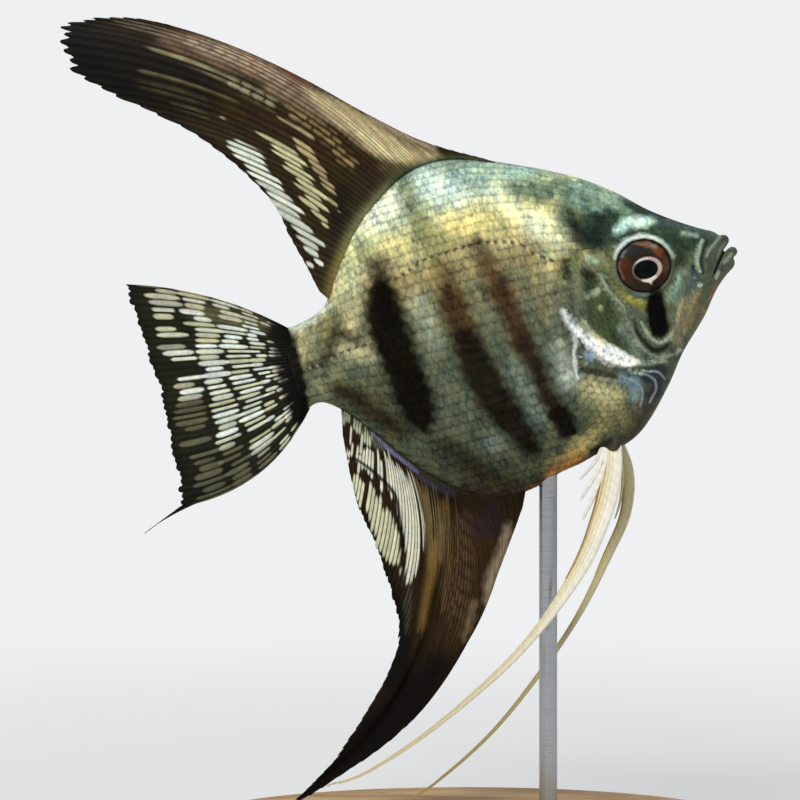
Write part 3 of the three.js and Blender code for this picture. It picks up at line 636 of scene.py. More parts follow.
def skin_mesh(strength):
    """Points and faces of the skin, with its relief raised by the strength."""
    xs, ys, zs = (
        np.concatenate([np.arange(*stretch) for stretch in stretches])
        for stretches in (SKIN_GRID_X, SKIN_GRID_Y, SKIN_GRID_Z)
    )
    slabs = []
    for start in range(0, len(xs), SLAB):
        grid = np.meshgrid(xs[start : start + SLAB], ys, zs, indexing="ij")
        slabs.append(skin_form(*(axis.ravel() for axis in grid)).reshape(grid[0].shape))
    half = np.concatenate(slabs)
    values = np.concatenate([half[:, ::-1], half], 1)
    points, faces = surface_net(values, (xs, np.concatenate([-ys[::-1], ys]), zs))
    points = settle(points, 2)[0]
    for _ in range(3):
        points = settle(relaxed(points, faces, 0.5), 1)[0]
    points, normal = settle(points, 2)
    raised = relief(points[:, 0], points[:, 2]) * smooth_step(0.1, 0.5, np.abs(normal[:, 1]))
    return points + normal * (strength * raised)[:, None], faces


# ---------------------------------------------------------------- scales

# Tables of a step or a share at each x, or at each girth, which is the way round the body in mm.
ROW_STEP = ((-34, 1.25), (-27, 1.35), (-20, 1.6), (-8, 1.9), (4, 1.95), (10, 1.7), (18, 1.5), (24, 1.25),
            (34, 1.15))
LENGTH_STEP = ((0, 1.05), (8, 1.1), (16, 1.32), (22, 1.37), (40, 1.37), (47, 1.15), (54, 0.95), (60, 0.8),
               (66, 0.62), (73, 0.5))
ROWS_ABOVE = ((0, 0.72), (8, 0.76), (20, 1), (38, 1), (46, 0.9), (54, 0.68), (60, 0.53), (66, 0.38),
              (73, 0.3))
ROWS_BELOW = ((0, 0.72), (8, 0.76), (20, 1), (44, 1), (50, 0.82), (56, 0.64), (64, 0.5))
FINER_ROWS = ((-32, 0.78), (-22, 0.9), (-14, 1), (9, 1), (14, 0.88), (26, 0.74))
# The height that the girth is counted from, and the x that the steps along each row are counted from.
ROW_ZERO = 2.0
ANCHOR = 34.0
# Where the rear coat meets the body's, and how far behind its root a scale's direction is taken from.
REAR_COAT_END = 27
STEP_BACK = 0.3

# Half a scale's length and width, in steps between scales, so that it overlaps the next ones.
SCALE_LENGTH = 0.98
SCALE_WIDTH = 0.68
# In half lengths: how deep the root sits, how far the free end stands up, the dome and the chance lean.
SCALE_SINK = 0.008
SCALE_RISE = 0.062
SCALE_DOME = 0.02
SCALE_LEAN = 0.007
# The thickness is this much in mm and as much again in half lengths.
SCALE_THICK = 0.008
# Between these places along the fish, the scales go over from the body's to the head's finer ones.
HEAD_BEGINS = (50, 60)

# The free margin of the bake map, and half the size of a scale's patch in it.
BAKE_MARGIN = 0.01
BAKE_SCALE = 0.0015
THROAT = ((54, -16.6, 0.8), (56.4, -18.6, 1.6), (58.6, -16.9, 1.6))


def on_body(x, girth):
    """Points on the right side by x and by the way round from the height ROW_ZERO, and if they exist."""
    middle, above, below, half, keel = (part[:, None] for part in section(x))
    angle = np.linspace(-math.pi / 2, math.pi / 2, 121)[None, :]
    up = angle > 0
    y = half * np.cos(angle).clip(0) ** np.where(up, BACK_KEEL, keel)
    z = middle + np.sin(angle) * np.where(up, above, below)
    length = np.concatenate([np.zeros((len(x), 1)), np.cumsum(np.hypot(np.diff(y), np.diff(z)), 1)], 1)
    rows = np.arange(len(x))

    def along(values, by, wanted):
        k = np.clip((by < wanted[:, None]).sum(1) - 1, 0, 119)
        share = (wanted - by[rows, k]) / np.maximum(by[rows, k + 1] - by[rows, k], 1e-9)
        return values[rows, k] + (values[rows, k + 1] - values[rows, k]) * share

    wanted = along(length, z, np.full(len(x), ROW_ZERO)) + girth
    points = np.stack([x, -along(y, length, wanted), along(z, length, wanted)], 1)
    return points, (wanted > 0) & (wanted < length[:, -1])


def steps_from(start, low, high, step):
    """Places from low to high, each a step(place) from the last, that include start."""
    up, down = [start], [start]
    while up[-1] < high:
        up.append(up[-1] + step(up[-1]))
    while down[-1] > low:
        down.append(down[-1] - step(down[-1]))
    return np.array(down[:0:-1] + up)


def look_up(table, at):
    """The table's value at each place, evenly between its rows."""
    x, y = zip(*table)
    return np.interp(at, x, y)


def body_lattice():
    """Places of the scales from the nape to the tail base: x, girth, and the steps along and across."""
    out = []
    girths = steps_from(0.0, -36, 36, lambda g: look_up(ROW_STEP, g))
    for row, girth in enumerate(girths):
        fine = look_up(FINER_ROWS, girth)
        xs = steps_from(ANCHOR, 0.5, 72, lambda x: fine * look_up(LENGTH_STEP, x))
        if row % 2:
            xs = (xs[1:] + xs[:-1]) / 2
        squeeze = look_up(ROWS_ABOVE if girth > 0 else ROWS_BELOW, xs)
        length = fine * look_up(LENGTH_STEP, xs)
        width = look_up(ROW_STEP, girth) * squeeze
        out.append(np.stack([xs, girth * squeeze, length, width], 1))
    return np.concatenate(out)


def even_lattice(x0, x1, g0, g1, length, width):
    """Places of scales of one size, as in body_lattice, with every other row half a step on."""
    out = []
    for row, girth in enumerate(np.arange(g0, g1, width)):
        xs = np.arange(x0 + (row % 2) * length / 2, x1, length)
        out.append(np.stack(np.broadcast_arrays(xs, girth, length, width), 1))
    return np.concatenate(out)


def cheek_lattice():
    return even_lattice(46, 68, -20, 8, 0.76, 0.92)


def face_lattice():
    return even_lattice(60, 74, -14, 8, 0.5, 0.6)


COATS = (
    # name, zone, places of its scales, cells across a scale, strength of the painted highlight and painted
    # shade on it
    ("scales_body", 1, body_lattice, 6, 1.0),
    ("scales_cheek", 2, cheek_lattice, 5, 0.6),
    ("scales_face", 3, face_lattice, 4, 0.5),
    ("scales_rear", 4, body_lattice, 6, 1.0),
)


def gill_edge_x(z):
    """Where the rear edge of the gill cover is at each height."""
    z_line, x_line = zip(*((z, x) for x, z in reversed(GILL_EDGE)))
    return np.interp(z, z_line, x_line)


def brow_z(x):
    """The height at which the nape's scales end above the cheek and the eye."""
    return np.interp(x, (48, 50.6, 57, 61, 66.5, 71), (5.4, 5.7, 7.6, 8.2, 5.6, 2.5))


def eye_gap(x, z):
    """About how far each place is from the edge of the eye."""
    return (np.hypot((x - EYE_AT[0]) / EYE_RADII[0], (z - EYE_AT[1]) / EYE_RADII[2]) - 1) * EYE_RADII[2]


def zone_of(points):
    """The coat over each place: 0 is none, 1 body and nape, 2 cheek, 3 face, 4 rear body."""
    x, side, z = points[:, 0], np.abs(points[:, 1]), points[:, 2]
    body = (x < gill_edge_x(z) - 0.75) | (z < -15.4) | (z > brow_z(x))
    zone = np.where(body, np.where(x < REAR_COAT_END, 4, 1), np.where(x + 0.35 * z < 65.6, 2, 3))
    # Round the eye, on the lips and snout, and in the gill opening and the creases of the head.
    bare = (eye_gap(x, z) < 0.95) | (x > 71.6) | (x - 0.55 * z > 72.2)
    bare |= ~body & ((x < gill_edge_x(z) + 0.35) | (gap_to_line(x, z, JAW_GROOVE) < 0.5))
    for line, room in ((CHEEK_GROOVE, 0.45), (SNOUT_GROOVE, 0.55), (SHOULDER_LINE, 0.5), (NOSTRIL, 0.6)):
        bare |= gap_to_line(x, z, line) < room
    # On the throat and the chin.
    bare |= gap_to_line(x, z, THROAT) < 0
    bare |= (z < -15.2) & (x > 54.5) | (x - z > 82)
    # At the roots of the paired fins, along the fins of the middle line and on the tail's root.
    bare |= np.hypot(x - PECTORAL_AT[0], (z - PECTORAL_AT[2]) / 1.3) < 1.9
    bare |= np.hypot(x - PELVIC_AT[0], z - PELVIC_AT[1]) < 2.3
    bare |= (side < 1) & (((z > 0) & (x < 43)) | ((z < 0) & (x < 33.5)))
    bare |= (side < 0.3) | (x < 1.6)
    return np.where(bare, 0, zone)


def scale_plate(n):
    """A round plate as a grid: across and along from -1 to 1, its quads and the numbers round its edge."""
    line = np.linspace(-1, 1, n + 1)
    a, b = np.meshgrid(line, line, indexing="ij")
    across, along = a * np.sqrt(1 - b * b / 2), b * np.sqrt(1 - a * a / 2)
    index = np.arange((n + 1) ** 2).reshape(n + 1, n + 1)
    edge = np.concatenate([index[:-1, 0], index[-1, :-1], index[:0:-1, -1], index[0, :0:-1]])
    return across.ravel(), along.ravel(), grid_faces(n + 1, n + 1), edge


def scale_ways(roots, behind, rng):
    """Each scale's root on the skin, its way to the tail and its way across, turned a little by chance."""
    roots, normal = settle(roots, 2)
    tail = behind - roots
    tail -= (tail * normal).sum(1, keepdims=True) * normal
    tail /= np.linalg.norm(tail, axis=1, keepdims=True)
    wide = np.cross(tail, normal)
    turn = rng.normal(0, 0.05, len(roots))[:, None]
    return roots, tail * np.cos(turn) + wide * np.sin(turn), wide * np.cos(turn) - tail * np.sin(turn)


def plate_faces(count, per, quads, edge):
    """Tops, rims and undersides of solid plates, whose tops' points come first and lower rings after."""
    tops = np.arange(count)[:, None, None] * per
    below = count * per + np.arange(count)[:, None, None] * len(edge)
    ring = np.arange(len(edge))
    after = np.roll(ring, -1)
    rims = np.concatenate([tops + np.stack([edge[after], edge], 1), below + np.stack([ring, after], 1)], 2)
    return [(tops + quads).reshape(-1, 4), rims.reshape(-1, 4), (below + ring[::-1]).reshape(-1, len(edge))]


def scale_paint(roots, flat, chance, per):
    """The colour of the scales' points, close to that of the root, with some scales darker or brighter at
    random and a few much brighter as painted glints.
    """
    # Each scale's brightness by chance: a few darker, most about even, and the brightest few painted glints.
    tone_and_glint = np.interp(chance, (0, 0.08, 0.14, 0.88, 0.93, 1), (0.55, 0.65, 0.93, 1.03, 1.7, 2.0))
    # How far that shows: most on the nape and the head, and less low on the flank.
    grain = np.interp(roots[:, 0], (43, 50, 58), (0.14, 0.45, 0.35))
    grain *= np.interp(roots[:, 2], (-2, 6), (0.35, 1))
    near_root = 0.15 * np.repeat(roots, per, 0) + 0.85 * flat
    return fish_colours(near_root) * np.repeat(1 + (tone_and_glint - 1) * grain, per)[:, None]


def bake_places(x, girth, across, along):
    """Places in the bake map: each scale's own, by x and girth, with a small patch round it."""
    spread = np.stack([x, girth], 1)
    low, high = spread.min(0), spread.max(0)
    at = BAKE_MARGIN + (1 - 2 * BAKE_MARGIN) * (spread - low) / (high - low)
    patch = BAKE_SCALE * np.stack([-along, across], 1)
    return (at[:, None] + patch).reshape(-1, 2)


def coat_mesh(zone, lattice, cells, bold, side, rng, lift):
    """The points, faces, layers and bake map of one coat piece."""
    x, girth, length, width = lattice().T
    roots, exists = on_body(x, girth)
    drift = look_up(ROWS_ABOVE, x - STEP_BACK) / look_up(ROWS_ABOVE, x) if lattice is body_lattice else 1
    behind = on_body(x - STEP_BACK, girth * drift)[0]
    keep = exists & (zone_of(roots) == zone)
    roots, behind, length, width, x, girth = (v[keep] for v in (roots, behind, length, width, x, girth))
    roots, tail, wide = scale_ways(roots, behind, rng)
    count = len(x)
    half_long = (SCALE_LENGTH * length)[:, None]
    half_wide = (SCALE_WIDTH * width * rng.uniform(0.96, 1.04, count))[:, None]
    across, along, quads, edge = scale_plate(cells)
    per = len(across)
    plain = (
        roots[:, None]
        + wide[:, None] * (half_wide * across)[:, :, None]
        + tail[:, None] * (half_long * (along + 0.35))[:, :, None]
    )
    flat, up = settle(plain.reshape(-1, 3), 2)
    rise = (along + 1) / 2
    lean = rng.normal(0, SCALE_LEAN, count)[:, None] * across
    tuck = half_long * np.interp(roots[:, :1], HEAD_BEGINS, (1, 0.7)) * min(1, bold + 0.2)
    height = tuck * (-SCALE_SINK + SCALE_RISE * lift * rise**1.2 + SCALE_DOME * (1 - across**2) + lean)
    raised = height.ravel() + relief(flat[:, 0], flat[:, 2])
    thick = np.repeat(SCALE_THICK + SCALE_THICK * half_long, per)
    chance = rng.random(count)
    # How strongly each scale's painted highlight and shade and its own brightness show, less on the head.
    fade = bold * np.interp(roots[:, :1], HEAD_BEGINS, (1, 0.6))
    shape = np.stack([
        across * fade,
        1 + (along - 1) * fade,
        0.5 + (chance[:, None] - 0.5) * fade + 0 * across,
    ], -1).reshape(-1, 3)

    def lower(values):
        """The values of the points round the edge of each scale."""
        return values.reshape(count, per, -1)[:, edge].reshape(-1, values.shape[1])

    def whole(values):
        """The values of all points of the tops and then of the lower rings."""
        return np.concatenate([values, lower(values)])

    points = np.concatenate([flat + up * raised[:, None], lower(flat + up * (raised - thick)[:, None])])
    faces = plate_faces(count, per, quads, edge)
    layers = {"paint": with_alpha(whole(scale_paint(roots, flat, chance, per))), "scale": whole(shape)}
    if side > 0:
        points = points * (1, -1, 1)
        faces = [group[:, ::-1] for group in faces]
    return points, faces, layers, whole(bake_places(x, girth, across, along))


# ---------------------------------------------------------------- fins

# Rays from front to rear, or from top to bottom: x and z of the root and of the tip. The pectoral fins'
# are measured from PECTORAL_AT.
DORSAL_RAYS = ((42.6, 25, 40.6, 26.4), (37.4, 27.2, 30.2, 33.2), (33.8, 27.9, 17.2, 45.2),
               (30.8, 28, 3.6, 57.4), (28.2, 27.6, -10.6, 66.4), (25.4, 26.4, -22.8, 68.4),
               (21.9, 24, -22.2, 59.4), (18.6, 21.8, -6.6, 45.2), (15.6, 18.8, 3.2, 32),
               (12.6, 15, 6.4, 20.8), (9.6, 10.6, 8.4, 12.4))
ANAL_RAYS = ((33.6, -27.6, 31.6, -31.8), (29.6, -28.6, 25.2, -40.6), (26, -28, 17.2, -50.6),
             (22.8, -26.4, 2.4, -62.4), (20.3, -24.5, -20, -70.1), (17.8, -22, -9.8, -63.8),
             (15.2, -19, 4.6, -49.4), (12.6, -15.4, 6.4, -36), (10, -11.8, 5, -23.8), (6.8, -7.8, 5.7, -12.2))
TAIL_RAYS = ((1.6, 7.8, -23.1, 22.4), (1.7, 5.6, -22.9, 15.8), (1.7, 3.2, -22.4, 9.4), (1.7, 0.6, -22.1, 2.6),
             (1.6, -2, -22.5, -3.4), (1.5, -4.4, -23, -10.2), (1.4, -6.2, -23.9, -16.4))
PECTORAL_RAYS = ((1.2, 2.3, -13.5, 8.8), (0.6, 1.2, -19, 6.2), (0.3, 0, -20.6, 1.2), (0.6, -1.2, -17, -4.2),
                 (1.2, -2.3, -9.5, -6.8))
PECTORAL_AT = (46.4, 5.6, -9.6)
PECTORAL_SPREAD = 24
PELVIC_AT = (49.4, -25)
PELVIC_RIGHT = ((49.1, -1.7, -24.4), (47.6, -2.3, -29.8), (44, -3.1, -36.4), (37.4, -4.2, -44.4),
                (25.2, -5.4, -54), (9.2, -6.3, -62.1), (-4, -6.8, -66.6), (-11.4, -7, -67.2))
PELVIC_LEFT = ((49.6, 1.7, -24.4), (50.1, 2.4, -30.5), (47.9, 3.4, -37), (43.4, 4.6, -42.8),
               (33.6, 5.8, -53.6), (18, 6.8, -66), (4.4, 7.4, -73.2), (-3, 7.6, -75.2))
# How wide a pelvic fin is at each share of its length.
PELVIC_WIDTHS = ((0, 2.6), (0.12, 3.1), (0.28, 2.6), (0.45, 1.6), (0.7, 1), (1, 0.6))
# The joints along a ray and the pale dashes between rays repeat after so many mm, and the dashes' chances
# after so many dashes.
RAY_JOINT = 0.9
DASH_LENGTH = 2.4
DASH_CHANCES = 16
# How far the flesh runs out along a fin, in mm, and how wide a ray's ridge is in gaps between rays.
SHEATH_LENGTH = 2.6
RIDGE_WIDTH = 0.2


class Fin:
    """A fin between rays: how many there are, how they bow and sway and how the edge between them is notched.

    The streamer is how far the last ray runs on. The sheath, ray and web are half thicknesses in mm: of
    the flesh at the root, of a ray and of the skin between two rays.
    """

    def __init__(self, rays, count, bow, notch, sway, streamer=0.0, sheath=0.85, ray=0.24, web=0.09):
        self.rays, self.count, self.bow, self.notch = rays, count, bow, notch
        self.sway, self.streamer, self.sheath, self.ray, self.web = sway, streamer, sheath, ray, web

    def off_ray(self, s):
        """How far each share of the way across is from the nearest ray, in gaps between rays."""
        turn = s * self.count
        return np.abs(turn - np.round(turn))

    def build(self, rng, rows, per_ray):
        """Points, faces, each point's ray number, and its shares across and along, ridge and mm along."""
        columns = self.count * per_ray + 1
        s = np.linspace(0, 1, columns)
        root, tip = (spline([ray[k : k + 2] for ray in self.rays], s) for k in (0, 2))
        chord = tip - root
        length = np.linalg.norm(chord, axis=1)
        across = np.stack([-chord[:, 1], chord[:, 0]], 1) / length[:, None]
        off = self.off_ray(s)
        number = np.round(s * self.count).astype(int)
        ragged = rng.uniform(-0.02, 0.006, self.count + 2)[number]
        edge = 1 + ragged - self.notch(s) * smooth_step(0.1, 0.5, off) + self.streamer / length * (s > 0.995)
        t = edge[:, None] * np.linspace(0, 1, rows)[None, :] ** 0.94
        bow = self.bow(s)[:, None] * length[:, None] * 4 * t * np.maximum(0, 1 - t)
        at = root[:, None] + chord[:, None] * t[..., None] + across[:, None] * bow[..., None]
        x, z = at[..., 0], at[..., 1]
        along = t * length[:, None]
        ridge = np.exp(-((off / RIDGE_WIDTH) ** 2))[:, None] * np.ones_like(t)
        joint = 0.5 + 0.5 * np.cos(along * 2 * math.pi / RAY_JOINT + number[:, None])
        taper = 1 - 0.62 * t / np.maximum(edge[:, None], 0.2)
        half = self.web * (1 - 0.35 * t) + (self.ray - self.web) * ridge * taper * (0.92 + 0.08 * joint)
        half = half + self.sheath * np.exp(-((along / SHEATH_LENGTH) ** 2)) * (0.9 + 0.1 * ridge)
        wave = 0.22 * np.sin(s * 31)[:, None] * smooth_step(6, 30, along)
        y = self.sway * (along / 60) ** 2 + wave
        points = np.concatenate([np.stack([x, y + out * half, z], -1).reshape(-1, 3) for out in (-1, 1)])
        size = columns * rows
        index = np.arange(size).reshape(columns, rows)
        rim = np.concatenate([index[:, 0], index[-1, 1:], index[-2::-1, -1], index[0, -2:0:-1]])
        after = np.roll(rim, -1)
        faces = np.concatenate([
            grid_faces(columns, rows, 0, True),
            grid_faces(columns, rows, size),
            np.stack([rim, after, after + size, rim + size], 1),
        ])
        shares = np.stack(np.broadcast_arrays(s[:, None], t, ridge, along), -1).reshape(-1, 4)
        return points, [faces], np.tile(np.repeat(number, rows), 2), np.tile(shares, (2, 1))


DORSAL = Fin(
    DORSAL_RAYS,
    count=56,
    bow=lambda s: -0.085 * np.sin(math.pi * s).clip(0) ** 2.2,
    notch=lambda s: np.interp(s, (0, 0.1, 0.2, 0.3, 0.31), (0.4, 0.2, 0.07, 0.04, 0.02)),
    sway=2.2,
)
ANAL = Fin(
    ANAL_RAYS,
    count=92,
    bow=lambda s: 0.15 * np.sin(math.pi * np.minimum(1, s * 1.1)).clip(0) ** 0.8,
    notch=lambda s: np.where(s < 0.35, 0.03, 0.015),
    sway=1.6,
)
TAIL = Fin(
    TAIL_RAYS, count=34, bow=lambda s: -0.06 + 0.19 * s**1.4, notch=lambda s: 0.008, sway=-9, streamer=7.5
)
PECTORAL = Fin(
    PECTORAL_RAYS, count=12, bow=np.zeros_like, notch=lambda s: 0.03, sway=6, sheath=0.5, ray=0.12, web=0.04
)

DORSAL_MARKS = (
    ("34240f", 0.9, 3, ((30, 28, 2), (20, 32, 4), (10, 44, 4), (0, 50, 3))),
    ("8f765c", 0.85, 1.4, ((15.4, 46.4, 0.6), (11.8, 49.6, 1.6), (6, 54, 2.2), (-1, 58.4, 1.8),
                           (-6, 61, 1))),
    ("14100a", 0.95, 3, ((-20, 64, 5), (-8, 57, 3.5), (-1, 51, 2.5))),
    ("0a0a06", 0.97, 3, ((-3.5, 47.6, 1.6), (-12, 52.5, 2.4), (-22, 60, 5))),
    ("0b0b07", 0.9, 2, ((-15, 69, 1.2), (-24, 67, 3))),
    ("86735a", 0.8, 1.3, ((17, 40.6, 1), (13.4, 44.6, 1.3), (9.5, 48, 1))),
    ("dccb9c", 0.95, 1.2, ((15.2, 45.8, 0.4), (18.7, 41.4, 1.5), (22.2, 37.3, 1.9), (25.4, 33.4, 2.2),
                           (29.2, 30, 1.6), (33, 28.6, 0.7))),
    ("e0d6a6", 0.8, 0.7, ((22, 36, 0.3), (25.2, 32.6, 0.7), (28, 30.6, 0.8))),
    ("cdb99a", 0.8, 0.5, ((33.4, 30.2, 0.5), (28.6, 34.2, 0.5), (24, 38.6, 0.4))),
    ("7a4632", 0.6, 0.7, ((17.4, 45.6, 0.5), (12.8, 49.8, 0.6), (8.6, 53.6, 0.5))),
    ("6b5a35", 0.6, 1, ((27.6, 28, 0.8), (24.4, 29.4, 0.8))),
    ("1c150b", 0.9, 1.5, ((16.4, 27, 1.4), (14.2, 20.4, 1.3), (11.2, 13.6, 0.9))),
    ("0a0906", 0.9, 0.9, ((7.4, 22.5, 0.5), (5.4, 28.6, 0.5), (1.6, 35.2, 0.5), (-3, 41.6, 0.6),
                          (-9.5, 48, 0.8))),
)
DORSAL_DASHES = (
    # colour, strength, softness, kind, line of x, z and half width
    ("a3957f", 0.8, 0.6, "streak", ((-14.5, 67.2, 0.2), (-10.2, 64.9, 0.6), (-6.3, 62.5, 0.7),
                                    (-2.2, 60, 0.4))),
    ("c9b4a2", 0.8, 0.8, "dash", ((-2, 59.6, 0.6), (3, 56.2, 1.3), (7.6, 52.6, 1.4), (11.4, 48.6, 1))),
    ("b5ab85", 0.9, 0.5, "streak", ((-9.4, 61.3, 0.1), (-7.2, 59.4, 0.4), (-2.5, 56, 0.6),
                                    (2.6, 51.4, 0.5), (4.4, 49.6, 0.3))),
    ("c4bd98", 0.7, 0.6, "dash", ((2.6, 51.4, 0.5), (6.4, 47.8, 1), (9.4, 44.6, 0.8))),
    ("948a62", 0.85, 0.5, "streak", ((-12.3, 57.8, 0.1), (-7.6, 55.4, 0.4), (-3.1, 52.6, 0.5),
                                     (0.4, 50.1, 0.5), (2.7, 48.1, 0.3))),
    ("56523a", 0.8, 0.6, "streak", ((-11, 54, 0.4), (-5.8, 51.1, 0.7), (-1, 48, 0.4))),
    ("6b6a4c", 0.8, 0.5, "streak", ((-7, 49.6, 0.2), (-4.6, 48, 0.5), (-2.2, 46.2, 0.4))),
    ("b09a82", 0.65, 1, "dash", ((22, 38, 1.2), (14, 45.4, 1.8), (10, 48.4, 1.2))),
    ("b8a06c", 0.75, 0.8, "dash", ((19, 31.4, 0.9), (16.6, 37.4, 1), (12, 42.6, 1))),
    ("eef6e6", 1, 0.5, "band", ((0.6, 41, 0.9), (3.2, 37.4, 1.7), (5.4, 31.4, 1.7), (7, 26.6, 1.7),
                                (9.4, 20.8, 1.3), (9.6, 17.6, 0.9), (8.4, 14.4, 0.5))),
    ("dcd8a8", 0.95, 0.5, "band", ((0, 46, 0.7), (3.4, 45, 0.9), (6.4, 41.2, 1.3), (8.9, 36.8, 1.5),
                                   (9.8, 33, 1.4), (11.4, 28.4, 1.3), (12.4, 23.4, 0.9))),
    ("cbb98a", 0.85, 0.5, "band", ((8.1, 43, 0.7), (12.2, 38.6, 0.9), (13.9, 33.2, 1), (14.3, 29.4, 0.9),
                                   (14.7, 25.6, 0.7))),
)
ANAL_MARKS = (
    ("3d2a14", 0.9, 3, ((24, -33, 3), (19, -42, 3), (13, -50, 2))),
    ("30222a", 0.8, 1.6, ((27.5, -29.4, 1.2), (25.4, -33, 1.8), (22.6, -32, 1.2))),
    ("ac9a82", 0.85, 0.9, ((28.4, -34.2, 0.5), (26.2, -38.4, 0.9), (23.2, -42.2, 0.9), (21.6, -46.6, 0.5))),
    ("7d6a50", 0.8, 0.8, ((19.6, -45, 0.6), (17.6, -48.4, 0.7), (16.2, -50.4, 0.4))),
    ("0a0703", 0.98, 2.6, ((11, -53.4, 2.2), (2, -59.6, 4), (-18, -69, 4))),
    ("0b0804", 0.92, 1, ((4.4, -19, 0.5), (5.6, -25, 0.7), (6, -34, 1.1), (6, -45, 2.2), (3.5, -54, 2.2))),
    ("8c9880", 0.8, 0.8, ((8.6, -11.8, 0.4), (11.5, -15.6, 0.4))),
    ("b9b4ea", 0.95, 0.3, ((10.7, -12.9, 0.2), (12.6, -16.1, 0.3), (14.9, -19.3, 0.35),
                           (16.4, -21.4, 0.2))),
    ("57506e", 0.8, 0.5, ((16.4, -21.8, 0.4), (18.6, -24.2, 0.6), (21.1, -26.2, 0.4))),
)
ANAL_DASHES = (
    ("6f5a40", 0.5, 1, "dash", ((21.4, -31, 1.4), (19.6, -38, 1.8), (16, -46.6, 1.6))),
    ("a98a58", 0.6, 0.8, "streak", ((19.4, -27.6, 0.8), (18.4, -33, 0.9), (17, -38, 0.7),
                                    (14.6, -43.6, 0.5))),
    ("e8eed2", 1, 0.5, "band", ((6.8, -8.8, 0.9), (8, -11.2, 1.4), (9.2, -13.4, 1.5))),
    ("f8fae6", 1, 0.7, "band", ((6.4, -15, 1.2), (9.2, -17, 2.1), (11.6, -19.6, 2.3), (13.2, -24, 2.3),
                                (13.4, -29.4, 2.1), (12.3, -34, 1.7), (10.4, -38, 1.1))),
    ("eef0cc", 1, 0.6, "band", ((5.6, -20.4, 1.3), (7, -23.6, 2), (8.2, -27, 2.3), (8.4, -31, 2.2),
                                (8.6, -34.8, 1.2))),
    ("cdb67c", 0.7, 0.7, "streak", ((15.6, -22.6, 0.5), (16.6, -26, 0.9), (16.2, -31.4, 1.3),
                                    (15, -36.6, 1))),
    ("b8924f", 0.9, 0.8, "streak", ((15.3, -34.6, 0.7), (14.1, -38.4, 1), (12.2, -41.6, 0.7),
                                    (9.8, -47.1, 0.5))),
    ("5e5e52", 0.7, 0.5, "streak", ((9.6, -38.8, 0.7), (8.6, -42.6, 0.7), (7.4, -46.5, 0.4))),
)
ANAL_GAP = ((5.4, -16, 0.22), (6.9, -16.6, 0.24), (9.7, -20.2, 0.3), (11.6, -24.2, 0.3), (11.2, -28.4, 0.3),
            (10.6, -33, 0.3))
TAIL_MARKS = (
    ("7a7856", 0.6, 1.6, ((-2, 9.4, 0.6), (-6, 11, 1.2), (-12, 14.4, 1.2))),
    ("0b0905", 0.97, 0.7, ((0, 8.8, 1.4), (0.2, 4.9, 2.1), (0, 0.5, 2.3), (-0.2, -3.7, 2),
                           (-0.6, -7.2, 1.3))),
    ("0c0d07", 0.9, 1.2, ((-23.2, 21, 0.9), (-22.6, 5, 1), (-23, -10, 1.2), (-23.4, -15.5, 1.2))),
    ("10130a", 0.95, 1.6, ((-26, -19, 1.2), (-21, -14.2, 2.4), (-13, -12.6, 1.4))),
)
# The rows of dashes across the tail: where each starts and ends, and the share of its dashes that is
# left out.
TAIL_BANDS = ((0.118, 0.195), (0.205, 0.305), (0.315, 0.485), (0.5, 0.68), (0.7, 0.905))
TAIL_BAND_GAPS = (0.45, 0.15, 0.05, 0.03, 0.16)


def fin_colours(fin, base, marks, dashes, points, number, shares, rng):
    """Streaks along the rays over the marks, and pale dashes whose ends are stepped from ray to ray."""
    x, z = points[:, 0], points[:, 2]
    s, _, ridge, along = shares.T
    colour = painted(np.tile(tint(base), (len(x), 1)), x, z, marks, 0.3)
    length = rng.uniform(0.45, 1.35, fin.count + 2)[number]
    streak = 0.56 + 0.78 * ridge * length + 0.14 * np.sin(along * 0.7 + number * 2.1)
    colour = colour * streak[:, None]
    size = (fin.count + 2, len(dashes))
    start, drift = rng.random(size), rng.normal(0, 0.8, size)
    luck = rng.uniform(0.45, 1.0, (*size, DASH_CHANCES))
    missing = rng.random(size) < 0.1
    rays = np.array(fin.rays, float)
    flow = spline(rays[:, 2:] - rays[:, :2], s)
    flow /= np.linalg.norm(flow, axis=1, keepdims=True)
    off = fin.off_ray(s)
    for k, (code, strength, soft, kind, line) in enumerate(dashes):
        move, power = drift[number, k], luck[number, k, 0] ** 0.5 * ~missing[number, k]
        if kind == "dash":
            beat = along / DASH_LENGTH + start[number, k]
            move = (np.floor(beat) + 0.5 - beat) * DASH_LENGTH
            power = luck[number, k, np.floor(beat).astype(int) % DASH_CHANCES]
        gap = gap_to_line(x + flow[:, 0] * move, z + flow[:, 1] * move, line)
        if kind == "band":
            half = np.mean([w for _, _, w in line]) * (0.6 + 0.5 * start[number, k])
            thick = 0.33 + 0.13 * luck[number, k, 1]
            within = 1 - smooth_step(0.5, 1.15, (1 + gap / half).clip(0) ** 3 + (off / thick) ** 2)
        elif kind == "dash":
            within = 1 - smooth_step(0.5, 1.15, np.abs(2.2 * move / DASH_LENGTH) ** 3 + (off / 0.4) ** 2)
            within *= 1 - smooth_step(-soft, soft, gap)
        else:
            power = power * (0.8 + 0.2 * np.sin(along * 1.3 + number * 2.7))
            within = (1 - smooth_step(0.16, 0.42, off)) * (1 - smooth_step(-soft, soft, gap))
        colour = over(colour, tint(code), strength * power * within)
    if fin is ANAL:
        colour = colour * (1 - 0.92 * line_mask(x, z, ANAL_GAP, 0.2))[:, None]
    return over(colour, fish_colours(points) * (0.55, 0.48, 0.3), 0.6 * np.exp(-((along / 1.3) ** 2)))


